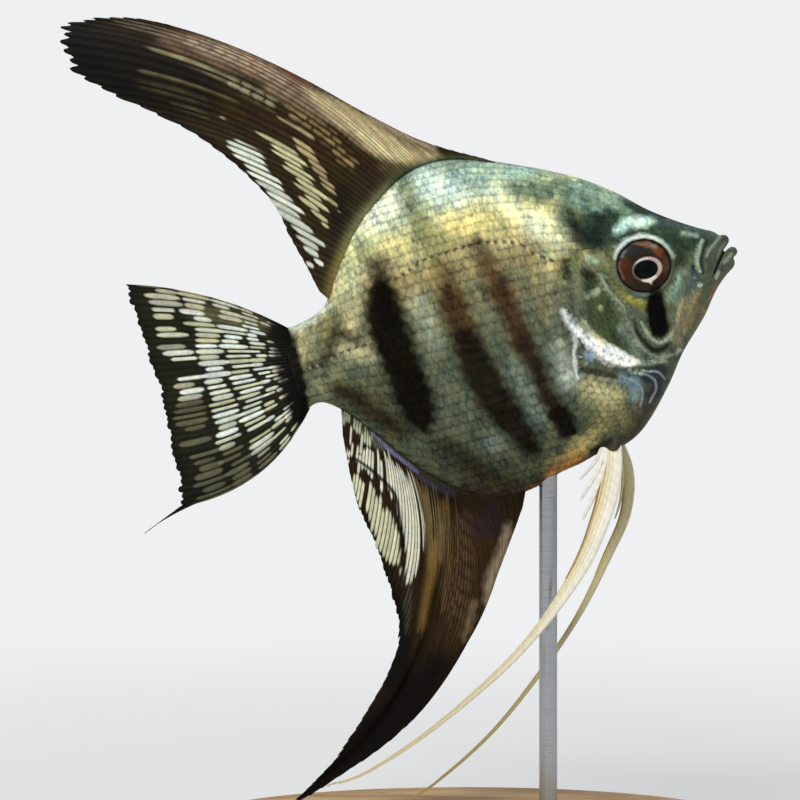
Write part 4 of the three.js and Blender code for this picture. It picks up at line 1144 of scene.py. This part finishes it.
def tail_colours(points, number, shares, rng):
    """Dark streaks with rows of pale dashes across the tail, which fade towards its lower rear edge."""
    x, z = points[:, 0], points[:, 2]
    s, t, ridge, _ = shares.T
    colour = painted(np.tile(tint("1e1f12"), (len(x), 1)), x, z, TAIL_MARKS, 0.3)
    colour = colour * (0.75 + 0.5 * ridge)[:, None]
    size = (TAIL.count + 2, len(TAIL_BANDS))
    shift = rng.normal(0, 0.02, size)
    gain = rng.uniform(0.62, 1.3, size)
    thick = rng.uniform(0.28, 0.44, size)
    power = rng.uniform(0.45, 1.0, size) ** 0.5 * (rng.random(size) > TAIL_BAND_GAPS)
    warmth = rng.uniform(0, 1, size) ** 1.2
    off = TAIL.off_ray(s)
    limit = np.interp(s, (0.45, 0.6, 0.7, 0.8, 0.9, 1), (0.91, 0.86, 0.8, 0.68, 0.46, 0.25))
    white, cream, first_ray = tint("f4fffa"), tint("d9d8ac"), tint("b8ab86")
    dark_places = [1 - 0.9 * line_mask(x, z, line, soft) for _, _, soft, line in TAIL_MARKS[1:3]]
    for k, (start, end) in enumerate(TAIL_BANDS):
        middle, half = (start + end) / 2 + shift[number, k], (end - start) / 2 * gain[number, k]
        mask = 1 - smooth_step(0.5, 1.15, np.abs((t - middle) / half) ** 5 + (off / thick[number, k]) ** 2)
        dim = smooth_step(-0.02, 0.05, middle + half - limit)
        mask = mask * power[number, k] * (1 - 0.82 * dim) * dark_places[0] * dark_places[1]
        pale = over(white, cream, np.maximum(warmth[number, k], dim))
        pale = np.where((s > 0.12)[:, None], pale, 0.5 * pale + 0.5 * first_ray)
        colour = over(colour, pale, mask)
    return colour


PELVIC_STRANDS = (
    # mm across at its start and end, its reach along the fin, half width, colour near and far
    (1, 0.42, 1, 0.5, "f6f3e2", "e4dcb6"),
    (0.45, 0.18, 1, 0.5, "fbf8ea", "dad0a4"),
    (-0.1, -0.05, 1, 0.48, "f4ecd0", "cfc08e"),
    (-0.65, -0.3, 0.9, 0.42, "efe2bc", "c4b78a"),
    (1.15, 0.95, 0.17, 0.3, "fdfbf0", "f6f2e0"),
    (-0.85, -0.5, 0.56, 0.24, "a98243", "8d7440"),
    (-1.2, -0.8, 0.4, 0.24, "e2cf9c", "b39a60"),
    (-1.5, -1.15, 0.32, 0.2, "8f6d38", "a68a56"),
    (-0.9, -2.5, 0.19, 0.42, "fbfaf2", "efece0"),
    (-1.2, -3.6, 0.15, 0.4, "fbfaf2", "efece0"),
    (-1.4, -4.4, 0.1, 0.36, "f4f2e8", "e4e1d6"),
)
STRAND_ROWS, STRAND_SIDES = 150, 14


def pelvic_mesh(route, share, left):
    """A long flat ray with ridges along it and shorter rays that end one after another behind it."""
    points, faces, colours = [], [], []
    path = spline(route, np.linspace(0, 1, 400))
    steps = np.concatenate([[0], np.cumsum(np.linalg.norm(np.diff(path, axis=0), axis=1))])
    angle = np.linspace(0, 2 * math.pi, STRAND_SIDES, endpoint=False)[None, :, None]
    for k, (start, end, reach, half, near, far) in enumerate(PELVIC_STRANDS):
        t = np.linspace(-0.012, 1, STRAND_ROWS) * reach
        middle = np.stack([np.interp(t * steps[-1], steps, path[:, i]) for i in range(3)], 1)
        flow = np.gradient(middle, axis=0)
        flow /= np.linalg.norm(flow, axis=1, keepdims=True)
        across = np.array((0.0, 1.0, 0.0)) - flow * flow[:, 1:2]
        across /= np.linalg.norm(across, axis=1, keepdims=True)
        wide = np.cross(across, flow)
        wide *= np.sign(wide[:, :1] + 1e-9)
        room = look_up(PELVIC_WIDTHS, t.clip(0))[:, None] / PELVIC_WIDTHS[0][1] * share
        gone = (t / reach).clip(0)
        centre = middle + wide * room.clip(0.35) * (start + (end - start) * gone[:, None] ** 1.3)
        taper = (1 - 0.6 * gone**3)[:, None, None] * np.sqrt(room.clip(0.2))[:, :, None]
        ring = (
            centre[:, None]
            + wide[:, None] * np.cos(angle) * half * taper
            + across[:, None] * np.sin(angle) * (0.16 + half * 0.4) * taper
        )
        points.append(ring.transpose(1, 0, 2).reshape(-1, 3))
        faces.append(grid_faces(STRAND_SIDES, STRAND_ROWS, k * STRAND_SIDES * STRAND_ROWS, closed=True))
        tone = over(tint(near), tint(far), smooth_step(0.2, 1.0, gone))
        tone = np.tile(tone * (1 + 0.05 * np.sin(t * 300 + start * 20))[:, None], (STRAND_SIDES, 1))
        # The left fin, on the far side, has the right fin's colours painted darker and yellower as painted
        # shade.
        colours.append(tone * (0.62, 0.58, 0.4) if left else tone)
    return np.concatenate(points), [np.concatenate(faces)], np.concatenate(colours)


# ---------------------------------------------------------------- eyes

PUPIL_OFF = (0.18, -0.73)
PUPIL_RADII = (1.9, 1.5)
PUPIL_WEDGES = (
    ((-0.9, -2.3, 0.12), (0.2, -2.6, 0.32), (1.3, -2.3, 0.25)),
    ((0.35, -2.7, 0.32), (0.35, -3.2, 0.08)),
)
IRIS_MARKS = (
    ("23292a", 0.95, 0.8, ((-2.5, 2.9, 0.6), (-1.4, 3.1, 0.8), (0.7, 2.4, 0.8), (1.9, 1.8, 0.5))),
    ("8a6a58", 0.9, 0.5, ((-0.6, 3.9, 0.15), (0.3, 3.8, 0.25), (1.5, 3.3, 0.35))),
    ("b09a88", 0.8, 0.35, ((2, 2.9, 0.2), (2.6, 2.4, 0.25))),
    ("8a4a18", 0.95, 0.6, ((2.5, 1.9, 0.2), (3, 1.5, 0.5))),
    ("5a2410", 0.95, 0.7, ((3.4, 0.7, 0.4), (3.5, 0, 0.4))),
    ("4a3414", 0.9, 0.7, ((3.6, -1.2, 0.5), (3, -2.2, 0.3))),
    ("5c2a10", 0.95, 0.7, ((-2.9, 1.2, 0.5), (-3.1, -0.1, 0.5))),
    ("4e2a0a", 0.9, 0.7, ((-3, -0.6, 0.5), (-2.9, -1.4, 0.4))),
    ("8a6a60", 0.8, 0.35, ((-3.7, 1.6, 0.15), (-4, 0.3, 0.15), (-3.8, -1, 0.1))),
    ("2c1e0c", 0.9, 0.7, ((-2.2, -2.5, 0.5), (-0.8, -3.3, 0.5))),
    ("2a0a08", 0.9, 0.6, ((1.7, -2.9, 0.3), (2.4, -2.4, 0.3))),
    ("060706", 0.95, 0.6, ((0.2, -3.9, 0.4), (1.2, -3.8, 0.6))),
)


def eye_mesh(side):
    """Points, faces and colours of one eyeball, with a raised lens, and a hidden back that closes it."""
    rings, turns = 88, 144
    r = np.concatenate([np.linspace(0, 1, rings), np.linspace(1, 0.25, 14)[1:]])[None, :]
    front = (np.arange(r.size) < rings)[None, :]
    angle = np.linspace(0, 2 * math.pi, turns, endpoint=False)[:, None]
    dx, dz = EYE_RADII[0] * r * np.cos(angle), EYE_RADII[2] * r * np.sin(angle)
    radius = np.broadcast_to(r, dx.shape)
    lens = np.hypot((dx - PUPIL_OFF[0]) / PUPIL_RADII[0], (dz - PUPIL_OFF[1]) / PUPIL_RADII[1])
    middle, above, below, half, _ = section(EYE_AT[0] + dx)
    high = (EYE_AT[1] + dz - middle) / np.where(EYE_AT[1] + dz > middle, above, below)
    body = half * np.sqrt((1 - high**2).clip(0)) ** BACK_KEEL
    dome = np.sqrt((1 - radius**2).clip(0))
    bulge = 0.16 * smooth_step(1.0, 0.0, lens) + 0.06 * np.exp(-(((lens - 1.16) / 0.16) ** 2))
    out = body - EYE_SUNK + np.where(front, EYE_RADII[1] * dome + bulge, -2.6 * dome)
    points = np.stack([EYE_AT[0] + dx, side * out, EYE_AT[1] + dz], -1).reshape(-1, 3)
    cap = np.arange(turns) * r.size + r.size - 1
    faces = [
        grid_faces(turns, r.size, flip=side > 0, closed=True),
        (cap if side > 0 else cap[::-1])[None, :],
    ]
    return points, faces, with_alpha(eye_colours(dx.ravel(), dz.ravel(), lens.ravel(), radius.ravel()))


def eye_colours(dx, dz, lens, radius):
    """A spoked brown iris with a dark edge, and a black pupil in a pale broken ring."""
    colour = painted(np.tile(tint("2c1d10"), (len(dx), 1)), dx, dz, IRIS_MARKS, 0.5)
    spokes = 1 + 0.16 * np.sin(np.arctan2(dz, dx) * 46 + 4 * np.sin(radius * 9))
    colour = colour * spokes[:, None]
    colour = colour * (1 - 0.75 * smooth_step(0.86, 0.97, radius))[:, None]
    around = np.arctan2(dz - PUPIL_OFF[1], dx - PUPIL_OFF[0])
    width = 0.16 + 0.08 * np.cos(around) + 0.02 * np.sin(around)
    ring = 1 - smooth_step(-0.08, 0.08, np.abs(lens - 1.12 - width * 0.4) - width * 0.75)
    ring = ring * (0.3 + 0.65 * smooth_step(-0.75, -0.1, np.cos(around - 0.3)))
    ring_tone = over(tint("c4aca6"), tint("d8d4ca"), smooth_step(0.3, 1.0, np.cos(around - 2.0)))
    colour = over(colour, ring_tone, ring)
    for line in PUPIL_WEDGES:
        colour = over(colour, tint("ece6d6"), line_mask(dx, dz, line, 0.16))
    return over(colour, tint("010304"), 1 - smooth_step(0.96, 1.04, lens))


# ---------------------------------------------------------------- materials


def add(tree, kind, inputs=None, **settings):
    """A node whose inputs are set, or linked where a socket is given."""
    made = tree.nodes.new(kind)
    for name, value in settings.items():
        setattr(made, name, value)
    for name, value in (inputs or {}).items():
        if isinstance(value, bpy.types.NodeSocket):
            tree.links.new(value, made.inputs[name])
        else:
            made.inputs[name].default_value = value
    return made


def maths(tree, operation, *values):
    """The result of an operation on numbers."""
    return add(tree, "ShaderNodeMath", dict(enumerate(values)), operation=operation).outputs[0]


def vectors(tree, operation, *values, **named):
    """The result of an operation on places or colours."""
    inputs = {**dict(enumerate(values)), **named}
    return add(tree, "ShaderNodeVectorMath", inputs, operation=operation).outputs[0]


def noise(tree, at, scale, detail):
    return add(tree, "ShaderNodeTexNoise", {"Vector": at, "Scale": scale, "Detail": detail}).outputs


def remap(tree, value, start, end, low, high, kind="SMOOTHSTEP"):
    """A number that goes from low to high as the value goes from start to end."""
    spans = {"Value": value, "From Min": start, "From Max": end, "To Min": low, "To Max": high}
    return add(tree, "ShaderNodeMapRange", spans, interpolation_type=kind).outputs[0]


def shaded(tree, colour, level):
    """A colour made lighter or darker by a number."""
    grey = add(tree, "ShaderNodeCombineXYZ", {"X": level, "Y": level, "Z": level}).outputs[0]
    return vectors(tree, "MULTIPLY", colour, grey)


def ramp(tree, value, dark, light, start=0.0, end=1.0):
    """A colour that goes from dark to light as the value goes from start to end."""
    made = add(tree, "ShaderNodeValToRGB", {"Fac": value})
    stops = made.color_ramp.elements
    stops[0].position, stops[1].position = start, end
    stops[0].color, stops[1].color = (*dark, 1), (*light, 1)
    return made.outputs["Color"]


def object_place(tree):
    return add(tree, "ShaderNodeTexCoord").outputs["Object"]


def stretched(tree, at, scale):
    return add(tree, "ShaderNodeMapping", {"Vector": at, "Scale": scale}).outputs[0]


def bumped(tree, shader, height, strength, distance):
    """Bumps of a height, a strength and a greatest distance on a shader."""
    bump = add(tree, "ShaderNodeBump", {"Height": height, "Strength": strength, "Distance": distance})
    tree.links.new(bump.outputs["Normal"], shader.inputs["Normal"])


def group(name, inputs, outputs):
    """An empty node group with its sockets: its tree, what it is given and what it gives back."""
    tree = bpy.data.node_groups.new(name, "ShaderNodeTree")
    kinds = {"colour": "NodeSocketColor", "number": "NodeSocketFloat", "place": "NodeSocketVector"}
    for label, kind in inputs:
        tree.interface.new_socket(label, in_out="INPUT", socket_type=kinds[kind])
    for label, kind in outputs:
        tree.interface.new_socket(label, in_out="OUTPUT", socket_type=kinds[kind])
    return tree, tree.nodes.new("NodeGroupInput").outputs, tree.nodes.new("NodeGroupOutput").inputs


def mottle_group():
    """Fine and broad unevenness of a colour, with a height to go with it."""
    built = bpy.data.node_groups.get("Mottle")
    if built:
        return built
    tree, given, result = group(
        "Mottle",
        (("Colour", "colour"), ("Place", "place"), ("Fine Size", "number"), ("Amount", "number"),
         ("Tinge", "number")),
        (("Colour", "colour"), ("Height", "number")),
    )
    fine = noise(tree, given["Place"], given["Fine Size"], 3.0)["Fac"]
    broad = noise(tree, given["Place"], 0.55, 2.0)["Fac"]
    centred = maths(tree, "SUBTRACT", maths(tree, "ADD", fine, broad), 1.0)
    level = maths(tree, "ADD", maths(tree, "MULTIPLY", centred, given["Amount"]), 1.0)
    warmth = remap(tree, broad, 0.35, 0.65, -1.0, 1.0, "LINEAR")
    tinge = maths(tree, "MULTIPLY", warmth, given["Tinge"])
    shift = vectors(tree, "SCALE", (0.065, 0.0, -0.095), Scale=tinge)
    hue = vectors(tree, "ADD", shift, (1.005, 1.0, 0.975))
    toned = vectors(tree, "SCALE", hue, Scale=level)
    tree.links.new(vectors(tree, "MULTIPLY", given["Colour"], toned), result["Colour"])
    tree.links.new(fine, result["Height"])
    return tree


def painted_scale_light_group():
    """Painted light on a scale: a painted highlight in its middle, painted shade at its sides, at its root
    under the scale in front and towards its free end, a brightness of its own by chance and growth rings as
    bumps.
    """
    built = bpy.data.node_groups.get("Scale Painted Light")
    if built:
        return built
    tree, given, result = group(
        "Scale Painted Light",
        (("Colour", "colour"), ("Scale", "place"), ("Contrast", "number")),
        (("Colour", "colour"), ("Height", "number")),
    )
    parts = add(tree, "ShaderNodeSeparateXYZ", {"Vector": given["Scale"]}).outputs
    # Painted highlight across the middle of the scale and painted shade at its sides, where the rows meet.
    total = remap(tree, maths(tree, "ABSOLUTE", parts["X"]), 0.25, 0.85, 0.45, -0.45)
    # Painted shade at the root, where the scale in front lies over it, and towards the free end; then each
    # scale's own brightness by chance.
    for part in (
        remap(tree, parts["Y"], -0.35, 0.4, -0.2, 0.06),
        remap(tree, parts["Y"], 0.6, 1.0, 0.0, -0.1),
        remap(tree, parts["Z"], 0.0, 1.0, -0.2, 0.2, "LINEAR"),
    ):
        total = maths(tree, "ADD", total, part)
    level = maths(tree, "ADD", maths(tree, "MULTIPLY", total, given["Contrast"]), 1.04)
    tree.links.new(shaded(tree, given["Colour"], level), result["Colour"])
    away = add(tree, "ShaderNodeVectorMath", {0: given["Scale"], 1: (0.0, -0.9, 0.5)}, operation="DISTANCE")
    rings = maths(tree, "SINE", maths(tree, "MULTIPLY", away.outputs["Value"], 46.0))
    tree.links.new(rings, result["Height"])
    return tree


def new_material(name, colour, **values):
    """A material, its tree and its shader, with the shader's values set."""
    material = bpy.data.materials.new(name)
    material.use_nodes = True
    material.diffuse_color = (*colour, 1)
    shader = material.node_tree.nodes["Principled BSDF"]
    for label, value in values.items():
        shader.inputs[label.replace("_", " ")].default_value = value
    return material, material.node_tree, shader


def flesh_material(name, fine, amount, bump, plates=0.0, see_through=False, upright=1.0, tinge=1.0, **values):
    """Painted fish tissue, with mottling of a fine size and an amount, and bumps of a strength.

    plates is the strength of the painted highlight and painted shade on each scale, where it is on scales.
    upright stretches the mottling up and down, and tinge is how far it also changes the hue.
    """
    material, tree, shader = new_material(name, (0.4, 0.4, 0.3), **values)
    paint = add(tree, "ShaderNodeAttribute", attribute_name="paint").outputs
    own = add(tree, "ShaderNodeAttribute", attribute_name="own").outputs
    colour = paint["Color"]
    if plates:
        form = add(tree, "ShaderNodeAttribute", attribute_name="scale").outputs
        inputs = {"Colour": colour, "Scale": form["Vector"], "Contrast": plates}
        # Painted highlight and painted shade on each scale, laid over its colour.
        plate = add(tree, "ShaderNodeGroup", inputs, node_tree=painted_scale_light_group()).outputs
        colour = plate["Colour"]
    at = stretched(tree, own["Vector"], (1.0, 1.0, 1 / upright))
    inputs = {"Colour": colour, "Place": at, "Fine Size": fine, "Amount": amount, "Tinge": tinge}
    mottle = add(tree, "ShaderNodeGroup", inputs, node_tree=mottle_group()).outputs
    tree.links.new(mottle["Colour"], shader.inputs["Base Color"])
    bumped(tree, shader, plate["Height"] if plates else mottle["Height"], bump, 0.00008)
    if see_through:
        tree.links.new(paint["Alpha"], shader.inputs["Alpha"])
    return material


def wood_material():
    """Pale oiled oak with long grain and small pores."""
    material, tree, shader = new_material("Oiled Oak", (0.55, 0.36, 0.19), Roughness=0.42)
    along = stretched(tree, object_place(tree), (28.0, 260.0, 120.0))
    bent = vectors(tree, "ADD", along, noise(tree, along, 0.35, 3.0)["Color"])
    grain = noise(tree, bent, 1.4, 6.0)["Fac"]
    pores = remap(tree, noise(tree, along, 6.0, 2.0)["Fac"], 0.3, 0.42, 0.72, 1.0, "LINEAR")
    tone = ramp(tree, grain, tint("a97f4e"), tint("dcb883"), 0.34, 0.66)
    tree.links.new(shaded(tree, tone, pores), shader.inputs["Base Color"])
    bumped(tree, shader, grain, 0.25, 0.0002)
    return material


def steel_material():
    """Brushed stainless steel with its brushing round the rod."""
    material, tree, shader = new_material("Brushed Steel", (0.6, 0.6, 0.62), Metallic=1.0, Roughness=0.3)
    round_rod = stretched(tree, object_place(tree), (300.0, 300.0, 6000.0))
    lines = noise(tree, round_rod, 1.0, 3.0)["Fac"]
    tree.links.new(ramp(tree, lines, tint("a3a6aa"), tint("cfd2d6")), shader.inputs["Base Color"])
    tree.links.new(remap(tree, lines, 0.0, 1.0, 0.2, 0.42, "LINEAR"), shader.inputs["Roughness"])
    return material


def floor_material(colour):
    """A matt floor with faint clouds, which glows evenly to the camera away from the model."""
    material, tree, shader = new_material("Floor", colour, Roughness=0.85)
    where = object_place(tree)
    clouds = noise(tree, where, 3.0, 2.0)["Fac"]
    tree.links.new(ramp(tree, clouds, np.array(colour) * 0.98, colour), shader.inputs["Base Color"])
    away = add(tree, "ShaderNodeVectorMath", {0: where}, operation="LENGTH").outputs["Value"]
    path = add(tree, "ShaderNodeLightPath").outputs
    seen = maths(tree, "MULTIPLY", remap(tree, away, 0.08, 0.4, 0.55, 1.0), path["Is Camera Ray"])
    glow = add(tree, "ShaderNodeEmission", {"Color": (*colour, 1), "Strength": 1.0})
    blend = add(tree, "ShaderNodeMixShader", {0: seen, 1: shader.outputs[0], 2: glow.outputs[0]})
    tree.links.new(blend.outputs[0], tree.nodes["Material Output"].inputs["Surface"])
    return material


# ---------------------------------------------------------------- settings


class FishSettings(bpy.types.PropertyGroup):
    seed: IntProperty(name="Seed", description="Start of every random choice", default=11, min=0)
    relief: FloatProperty(name="Relief", description="Strength of the skin's folds", default=1.0, min=0)
    lift: FloatProperty(name="Scale Lift", description="How far the scales' edges stand up", default=1.0)
    # How strong the painted highlight and painted shade within each scale are.
    contrast: FloatProperty(name="Scale Contrast", description="Shading within a scale", default=0.4, min=0)


class StudioSettings(bpy.types.PropertyGroup):
    key_power: FloatProperty(name="Key Light", description="Main lamp's power", default=12.0, unit="POWER")
    fill_power: FloatProperty(name="Fill Light", description="Fill lamp's power", default=2.2, unit="POWER")
    rim_power: FloatProperty(name="Rim Light", description="Rear lamp's power", default=1.2, unit="POWER")
    room_level: FloatProperty(name="Room Level", description="Brightness of the room's light", default=0.34)
    room_colour: FloatVectorProperty(name="Room Colour", description="Colour of the room and floor", size=3,
                                     subtype="COLOR", default=(0.86, 0.87, 0.88))
    lens: FloatProperty(name="Lens", description="Focal length of the camera", default=100.0, unit="CAMERA")


def purge(names):
    """Removes objects by name, so that a step can be run again."""
    for name in names:
        if name in bpy.data.objects:
            bpy.data.objects.remove(bpy.data.objects[name], do_unlink=True)


# ---------------------------------------------------------------- steps


class ANGEL_OT_skin(bpy.types.Operator):
    """Builds the one seamless skin of head, body and tail base"""

    bl_idname = "angel.skin"
    bl_label = "Skin"

    def execute(self, context):
        purge(["skin"])
        points, faces = skin_mesh(context.scene.angel_fish.relief)
        material = flesh_material("Fish Skin", 2.2, 0.8, 0.5, Roughness=0.5, Specular_IOR_Level=0.15,
                                  Coat_Weight=0.05, Coat_Roughness=0.2)
        paint = with_alpha(fish_colours(points))
        piece = make_piece("skin", points, [faces], {"paint": paint}, material)
        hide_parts(*FLESH_NODES)
        return {"FINISHED"}


class ANGEL_OT_scales(bpy.types.Operator):
    """Lays the overlapping scales over the skin: body, rear body, cheek and face on each side"""

    bl_idname = "angel.scales"
    bl_label = "Scales"

    def execute(self, context):
        settings = context.scene.angel_fish
        material = flesh_material("Fish Scales", 2.3, 1.7, 0.25, plates=settings.contrast, upright=2.0,
                                  Roughness=0.55, Specular_IOR_Level=0.05)
        for word, side in SIDES:
            rng = np.random.default_rng(settings.seed + (side > 0))
            for label, *coat in COATS:
                name = f"{label}_{word}"
                purge([name])
                points, faces, layers, bake = coat_mesh(*coat, side, rng, settings.lift)
                make_piece(name, points, faces, layers, material, bake)
        return {"FINISHED"}


class ANGEL_OT_fins(bpy.types.Operator):
    """Builds the rayed fins on the middle line and the pair of clear pectoral fins"""

    bl_idname = "angel.fins"
    bl_label = "Fins"

    def execute(self, context):
        rng = np.random.default_rng(context.scene.angel_fish.seed)
        purge(("dorsal_rays", "anal_rays", "tail_rays", "pectoral_rays_right", "pectoral_rays_left"))
        dark = flesh_material("Dark Fin", 1.6, 0.6, 0.4, tinge=0.5, Roughness=0.55, Specular_IOR_Level=0.1)
        clear = flesh_material("Clear Fin", 1.6, 0.3, 0.3, see_through=True, Roughness=0.3)
        for name, node, fin, base, marks, dashes, per_ray in (
            ("dorsal_rays", "dorsal_fin", DORSAL, "30250f", DORSAL_MARKS, DORSAL_DASHES, 5),
            ("anal_rays", "anal_fin", ANAL, "2c1e0d", ANAL_MARKS, ANAL_DASHES, 4),
        ):
            points, faces, number, shares = fin.build(rng, 120, per_ray)
            colour = fin_colours(fin, base, marks, dashes, points, number, shares, rng)
            piece = make_piece(name, points, faces, {"paint": with_alpha(colour)}, dark)
            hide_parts(node)
        points, faces, number, shares = TAIL.build(rng, 130, 6)
        colour = tail_colours(points, number, shares, rng)
        piece = make_piece("tail_rays", points, faces, {"paint": with_alpha(colour)}, dark)
        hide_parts("tail_fin")
        for word, side in SIDES:
            points, faces, _, shares = PECTORAL.build(rng, 60, 8)
            _, _, ridge, along = shares.T
            turn = np.array(Matrix.Rotation(math.radians(-side * PECTORAL_SPREAD), 3, "Z"))
            points = (points * (1, side, 1)) @ turn.T + np.array(PECTORAL_AT) * (1, side, 1)
            if side < 0:
                faces = [faces[0][:, ::-1]]
            colour = np.tile(tint("8f8c70"), (len(points), 1)) * (0.8 + 0.3 * ridge)[:, None]
            alpha = (0.002 + 0.014 * ridge + 0.12 * np.exp(-((along / 1.2) ** 2))).clip(0, 1)
            name = f"pectoral_rays_{word}"
            piece = make_piece(name, points, faces, {"paint": with_alpha(colour, alpha)}, clear)
            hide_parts(f"pectoral_fin_{word}")
        return {"FINISHED"}


class ANGEL_OT_feelers(bpy.types.Operator):
    """Builds the two long pelvic fins from their separate rays"""

    bl_idname = "angel.feelers"
    bl_label = "Pelvic Fins"

    def execute(self, context):
        pale = flesh_material("Pale Fin", 2.5, 0.25, 0.3, tinge=0.2, Roughness=0.4, Coat_Weight=0.25,
                              Coat_Roughness=0.25)
        for word, route, share in (("right", PELVIC_RIGHT, 1.0), ("left", PELVIC_LEFT, 0.52)):
            name = f"pelvic_rays_{word}"
            purge([name])
            points, faces, colour = pelvic_mesh(route, share, word == "left")
            piece = make_piece(name, points, faces, {"paint": with_alpha(colour)}, pale)
            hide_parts(f"pelvic_fin_{word}")
        return {"FINISHED"}


class ANGEL_OT_eyes(bpy.types.Operator):
    """Builds both eyes, each with iris, ringed pupil and a clear wet coat"""

    bl_idname = "angel.eyes"
    bl_label = "Eyes"

    def execute(self, context):
        material = flesh_material("Eye", 3.0, 0.35, 0.15, Roughness=0.35, Specular_IOR_Level=0.1,
                                  Coat_Weight=0.2, Coat_Roughness=0.03, Coat_IOR=1.3)
        for word, side in SIDES:
            name = f"eyeball_{word}"
            purge([name])
            points, faces, paint = eye_mesh(side)
            piece = make_piece(name, points, faces, {"paint": paint}, material)
            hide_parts(f"eye_{word}")
        return {"FINISHED"}


class ANGEL_OT_stand(bpy.types.Operator):
    """Gives the display stand its oiled oak and brushed steel"""

    bl_idname = "angel.stand"
    bl_label = "Stand"

    def execute(self, context):
        for node, material in (("stand_base", wood_material()), ("stand_rod", steel_material())):
            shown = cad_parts[node]
            if not shown.material_slots:
                raise RuntimeError(f"{node} has no material slot")
            for holder in shown.material_slots:
                holder.link = "OBJECT"
                holder.material = material
        return {"FINISHED"}


FLOOR_REACH = 4.0
LAMP_TARGET = Vector((-0.005, 0, 0.085))
CAMERA_AT = (-0.011667, -0.37, 0.077667)


def make_floor(scene, studio):
    """A wide floor at the height the model stands on."""
    mesh = bpy.data.meshes.new("floor")
    corners = [(x * FLOOR_REACH, y * FLOOR_REACH, 0) for x, y in ((-1, -1), (1, -1), (1, 1), (-1, 1))]
    mesh.from_pydata(corners, [], [(0, 1, 2, 3)])
    mesh.materials.append(floor_material(studio.room_colour))
    floor = bpy.data.objects.new("floor", mesh)
    scene.collection.objects.link(floor)


def make_room(scene, studio):
    """Even light of the room, and a plain backdrop for the camera."""
    world = bpy.data.worlds.new("Studio")
    scene.world = world
    world.use_nodes = True
    tree = world.node_tree
    room = tree.nodes["Background"]
    room.inputs["Color"].default_value = (*studio.room_colour, 1)
    room.inputs["Strength"].default_value = studio.room_level
    shown = add(tree, "ShaderNodeBackground", {"Color": (*studio.room_colour, 1), "Strength": 1.0})
    path = add(tree, "ShaderNodeLightPath").outputs
    inputs = {0: path["Is Camera Ray"], 1: room.outputs[0], 2: shown.outputs[0]}
    mixed = add(tree, "ShaderNodeMixShader", inputs)
    tree.links.new(mixed.outputs[0], tree.nodes["World Output"].inputs["Surface"])


def make_lamps(scene, studio):
    """A warm key lamp in front, a cool fill lamp and a lamp behind, all turned to the fish."""
    for name, at, power, size, tone in (
        ("key_lamp", (-0.62, -0.85, 1.05), studio.key_power, 0.45, (1.0, 0.98, 0.93)),
        ("fill_lamp", (0.95, -0.7, 0.5), studio.fill_power, 0.6, (0.9, 0.96, 1.0)),
        ("rim_lamp", (0.25, 0.8, 1.0), studio.rim_power, 0.5, (1.0, 1.0, 1.0)),
    ):
        light = bpy.data.lights.new(name, "AREA")
        light.energy, light.size, light.color = power, size, tone
        lamp = bpy.data.objects.new(name, light)
        lamp.location = at
        lamp.rotation_euler = (LAMP_TARGET - Vector(at)).to_track_quat("-Z", "Y").to_euler()
        scene.collection.objects.link(lamp)


def make_camera(scene, studio):
    """The main camera, level and square to the model's front."""
    lens = bpy.data.cameras.new("main_camera")
    lens.lens, lens.sensor_width, lens.clip_start = studio.lens, 36.0, 0.01
    lens.dof.use_dof = False
    camera = bpy.data.objects.new("main_camera", lens)
    camera.location = CAMERA_AT
    camera.rotation_euler = (math.radians(90), 0, 0)
    scene.collection.objects.link(camera)
    scene.camera = camera


class ANGEL_OT_stage(bpy.types.Operator):
    """Sets up the pale floor, the room light, the lamps and the camera"""

    bl_idname = "angel.stage"
    bl_label = "Stage"

    def execute(self, context):
        purge(["floor", "key_lamp", "fill_lamp", "rim_lamp", "main_camera"])
        for make in (make_floor, make_room, make_lamps, make_camera):
            make(context.scene, context.scene.angel_studio)
        context.scene.view_settings.view_transform = "Standard"
        return {"FINISHED"}


STEPS = (ANGEL_OT_stage, ANGEL_OT_skin, ANGEL_OT_scales, ANGEL_OT_fins, ANGEL_OT_feelers, ANGEL_OT_eyes,
         ANGEL_OT_stand)


class ANGEL_PT_panel(bpy.types.Panel):
    """Settings and steps of the angelfish model"""

    bl_label = "Angelfish"
    bl_idname = "ANGEL_PT_panel"
    bl_space_type = "VIEW_3D"
    bl_region_type = "UI"
    bl_category = "Angelfish"

    def draw(self, context):
        for settings in (context.scene.angel_fish, context.scene.angel_studio):
            box = self.layout.box()
            for name in settings.__annotations__:
                box.prop(settings, name)
        for step in STEPS:
            self.layout.operator(step.bl_idname)


CLASSES = (FishSettings, StudioSettings, *STEPS, ANGEL_PT_panel)


def register():
    for kind in CLASSES:
        bpy.utils.register_class(kind)
    bpy.types.Scene.angel_fish = PointerProperty(type=FishSettings)
    bpy.types.Scene.angel_studio = PointerProperty(type=StudioSettings)


def unregister():
    del bpy.types.Scene.angel_studio
    del bpy.types.Scene.angel_fish
    for kind in reversed(CLASSES):
        bpy.utils.unregister_class(kind)


def main():
    register()
    for step in STEPS:
        area, name = step.bl_idname.split(".")
        getattr(getattr(bpy.ops, area), name)()


if __name__ == "__main__":
    main()
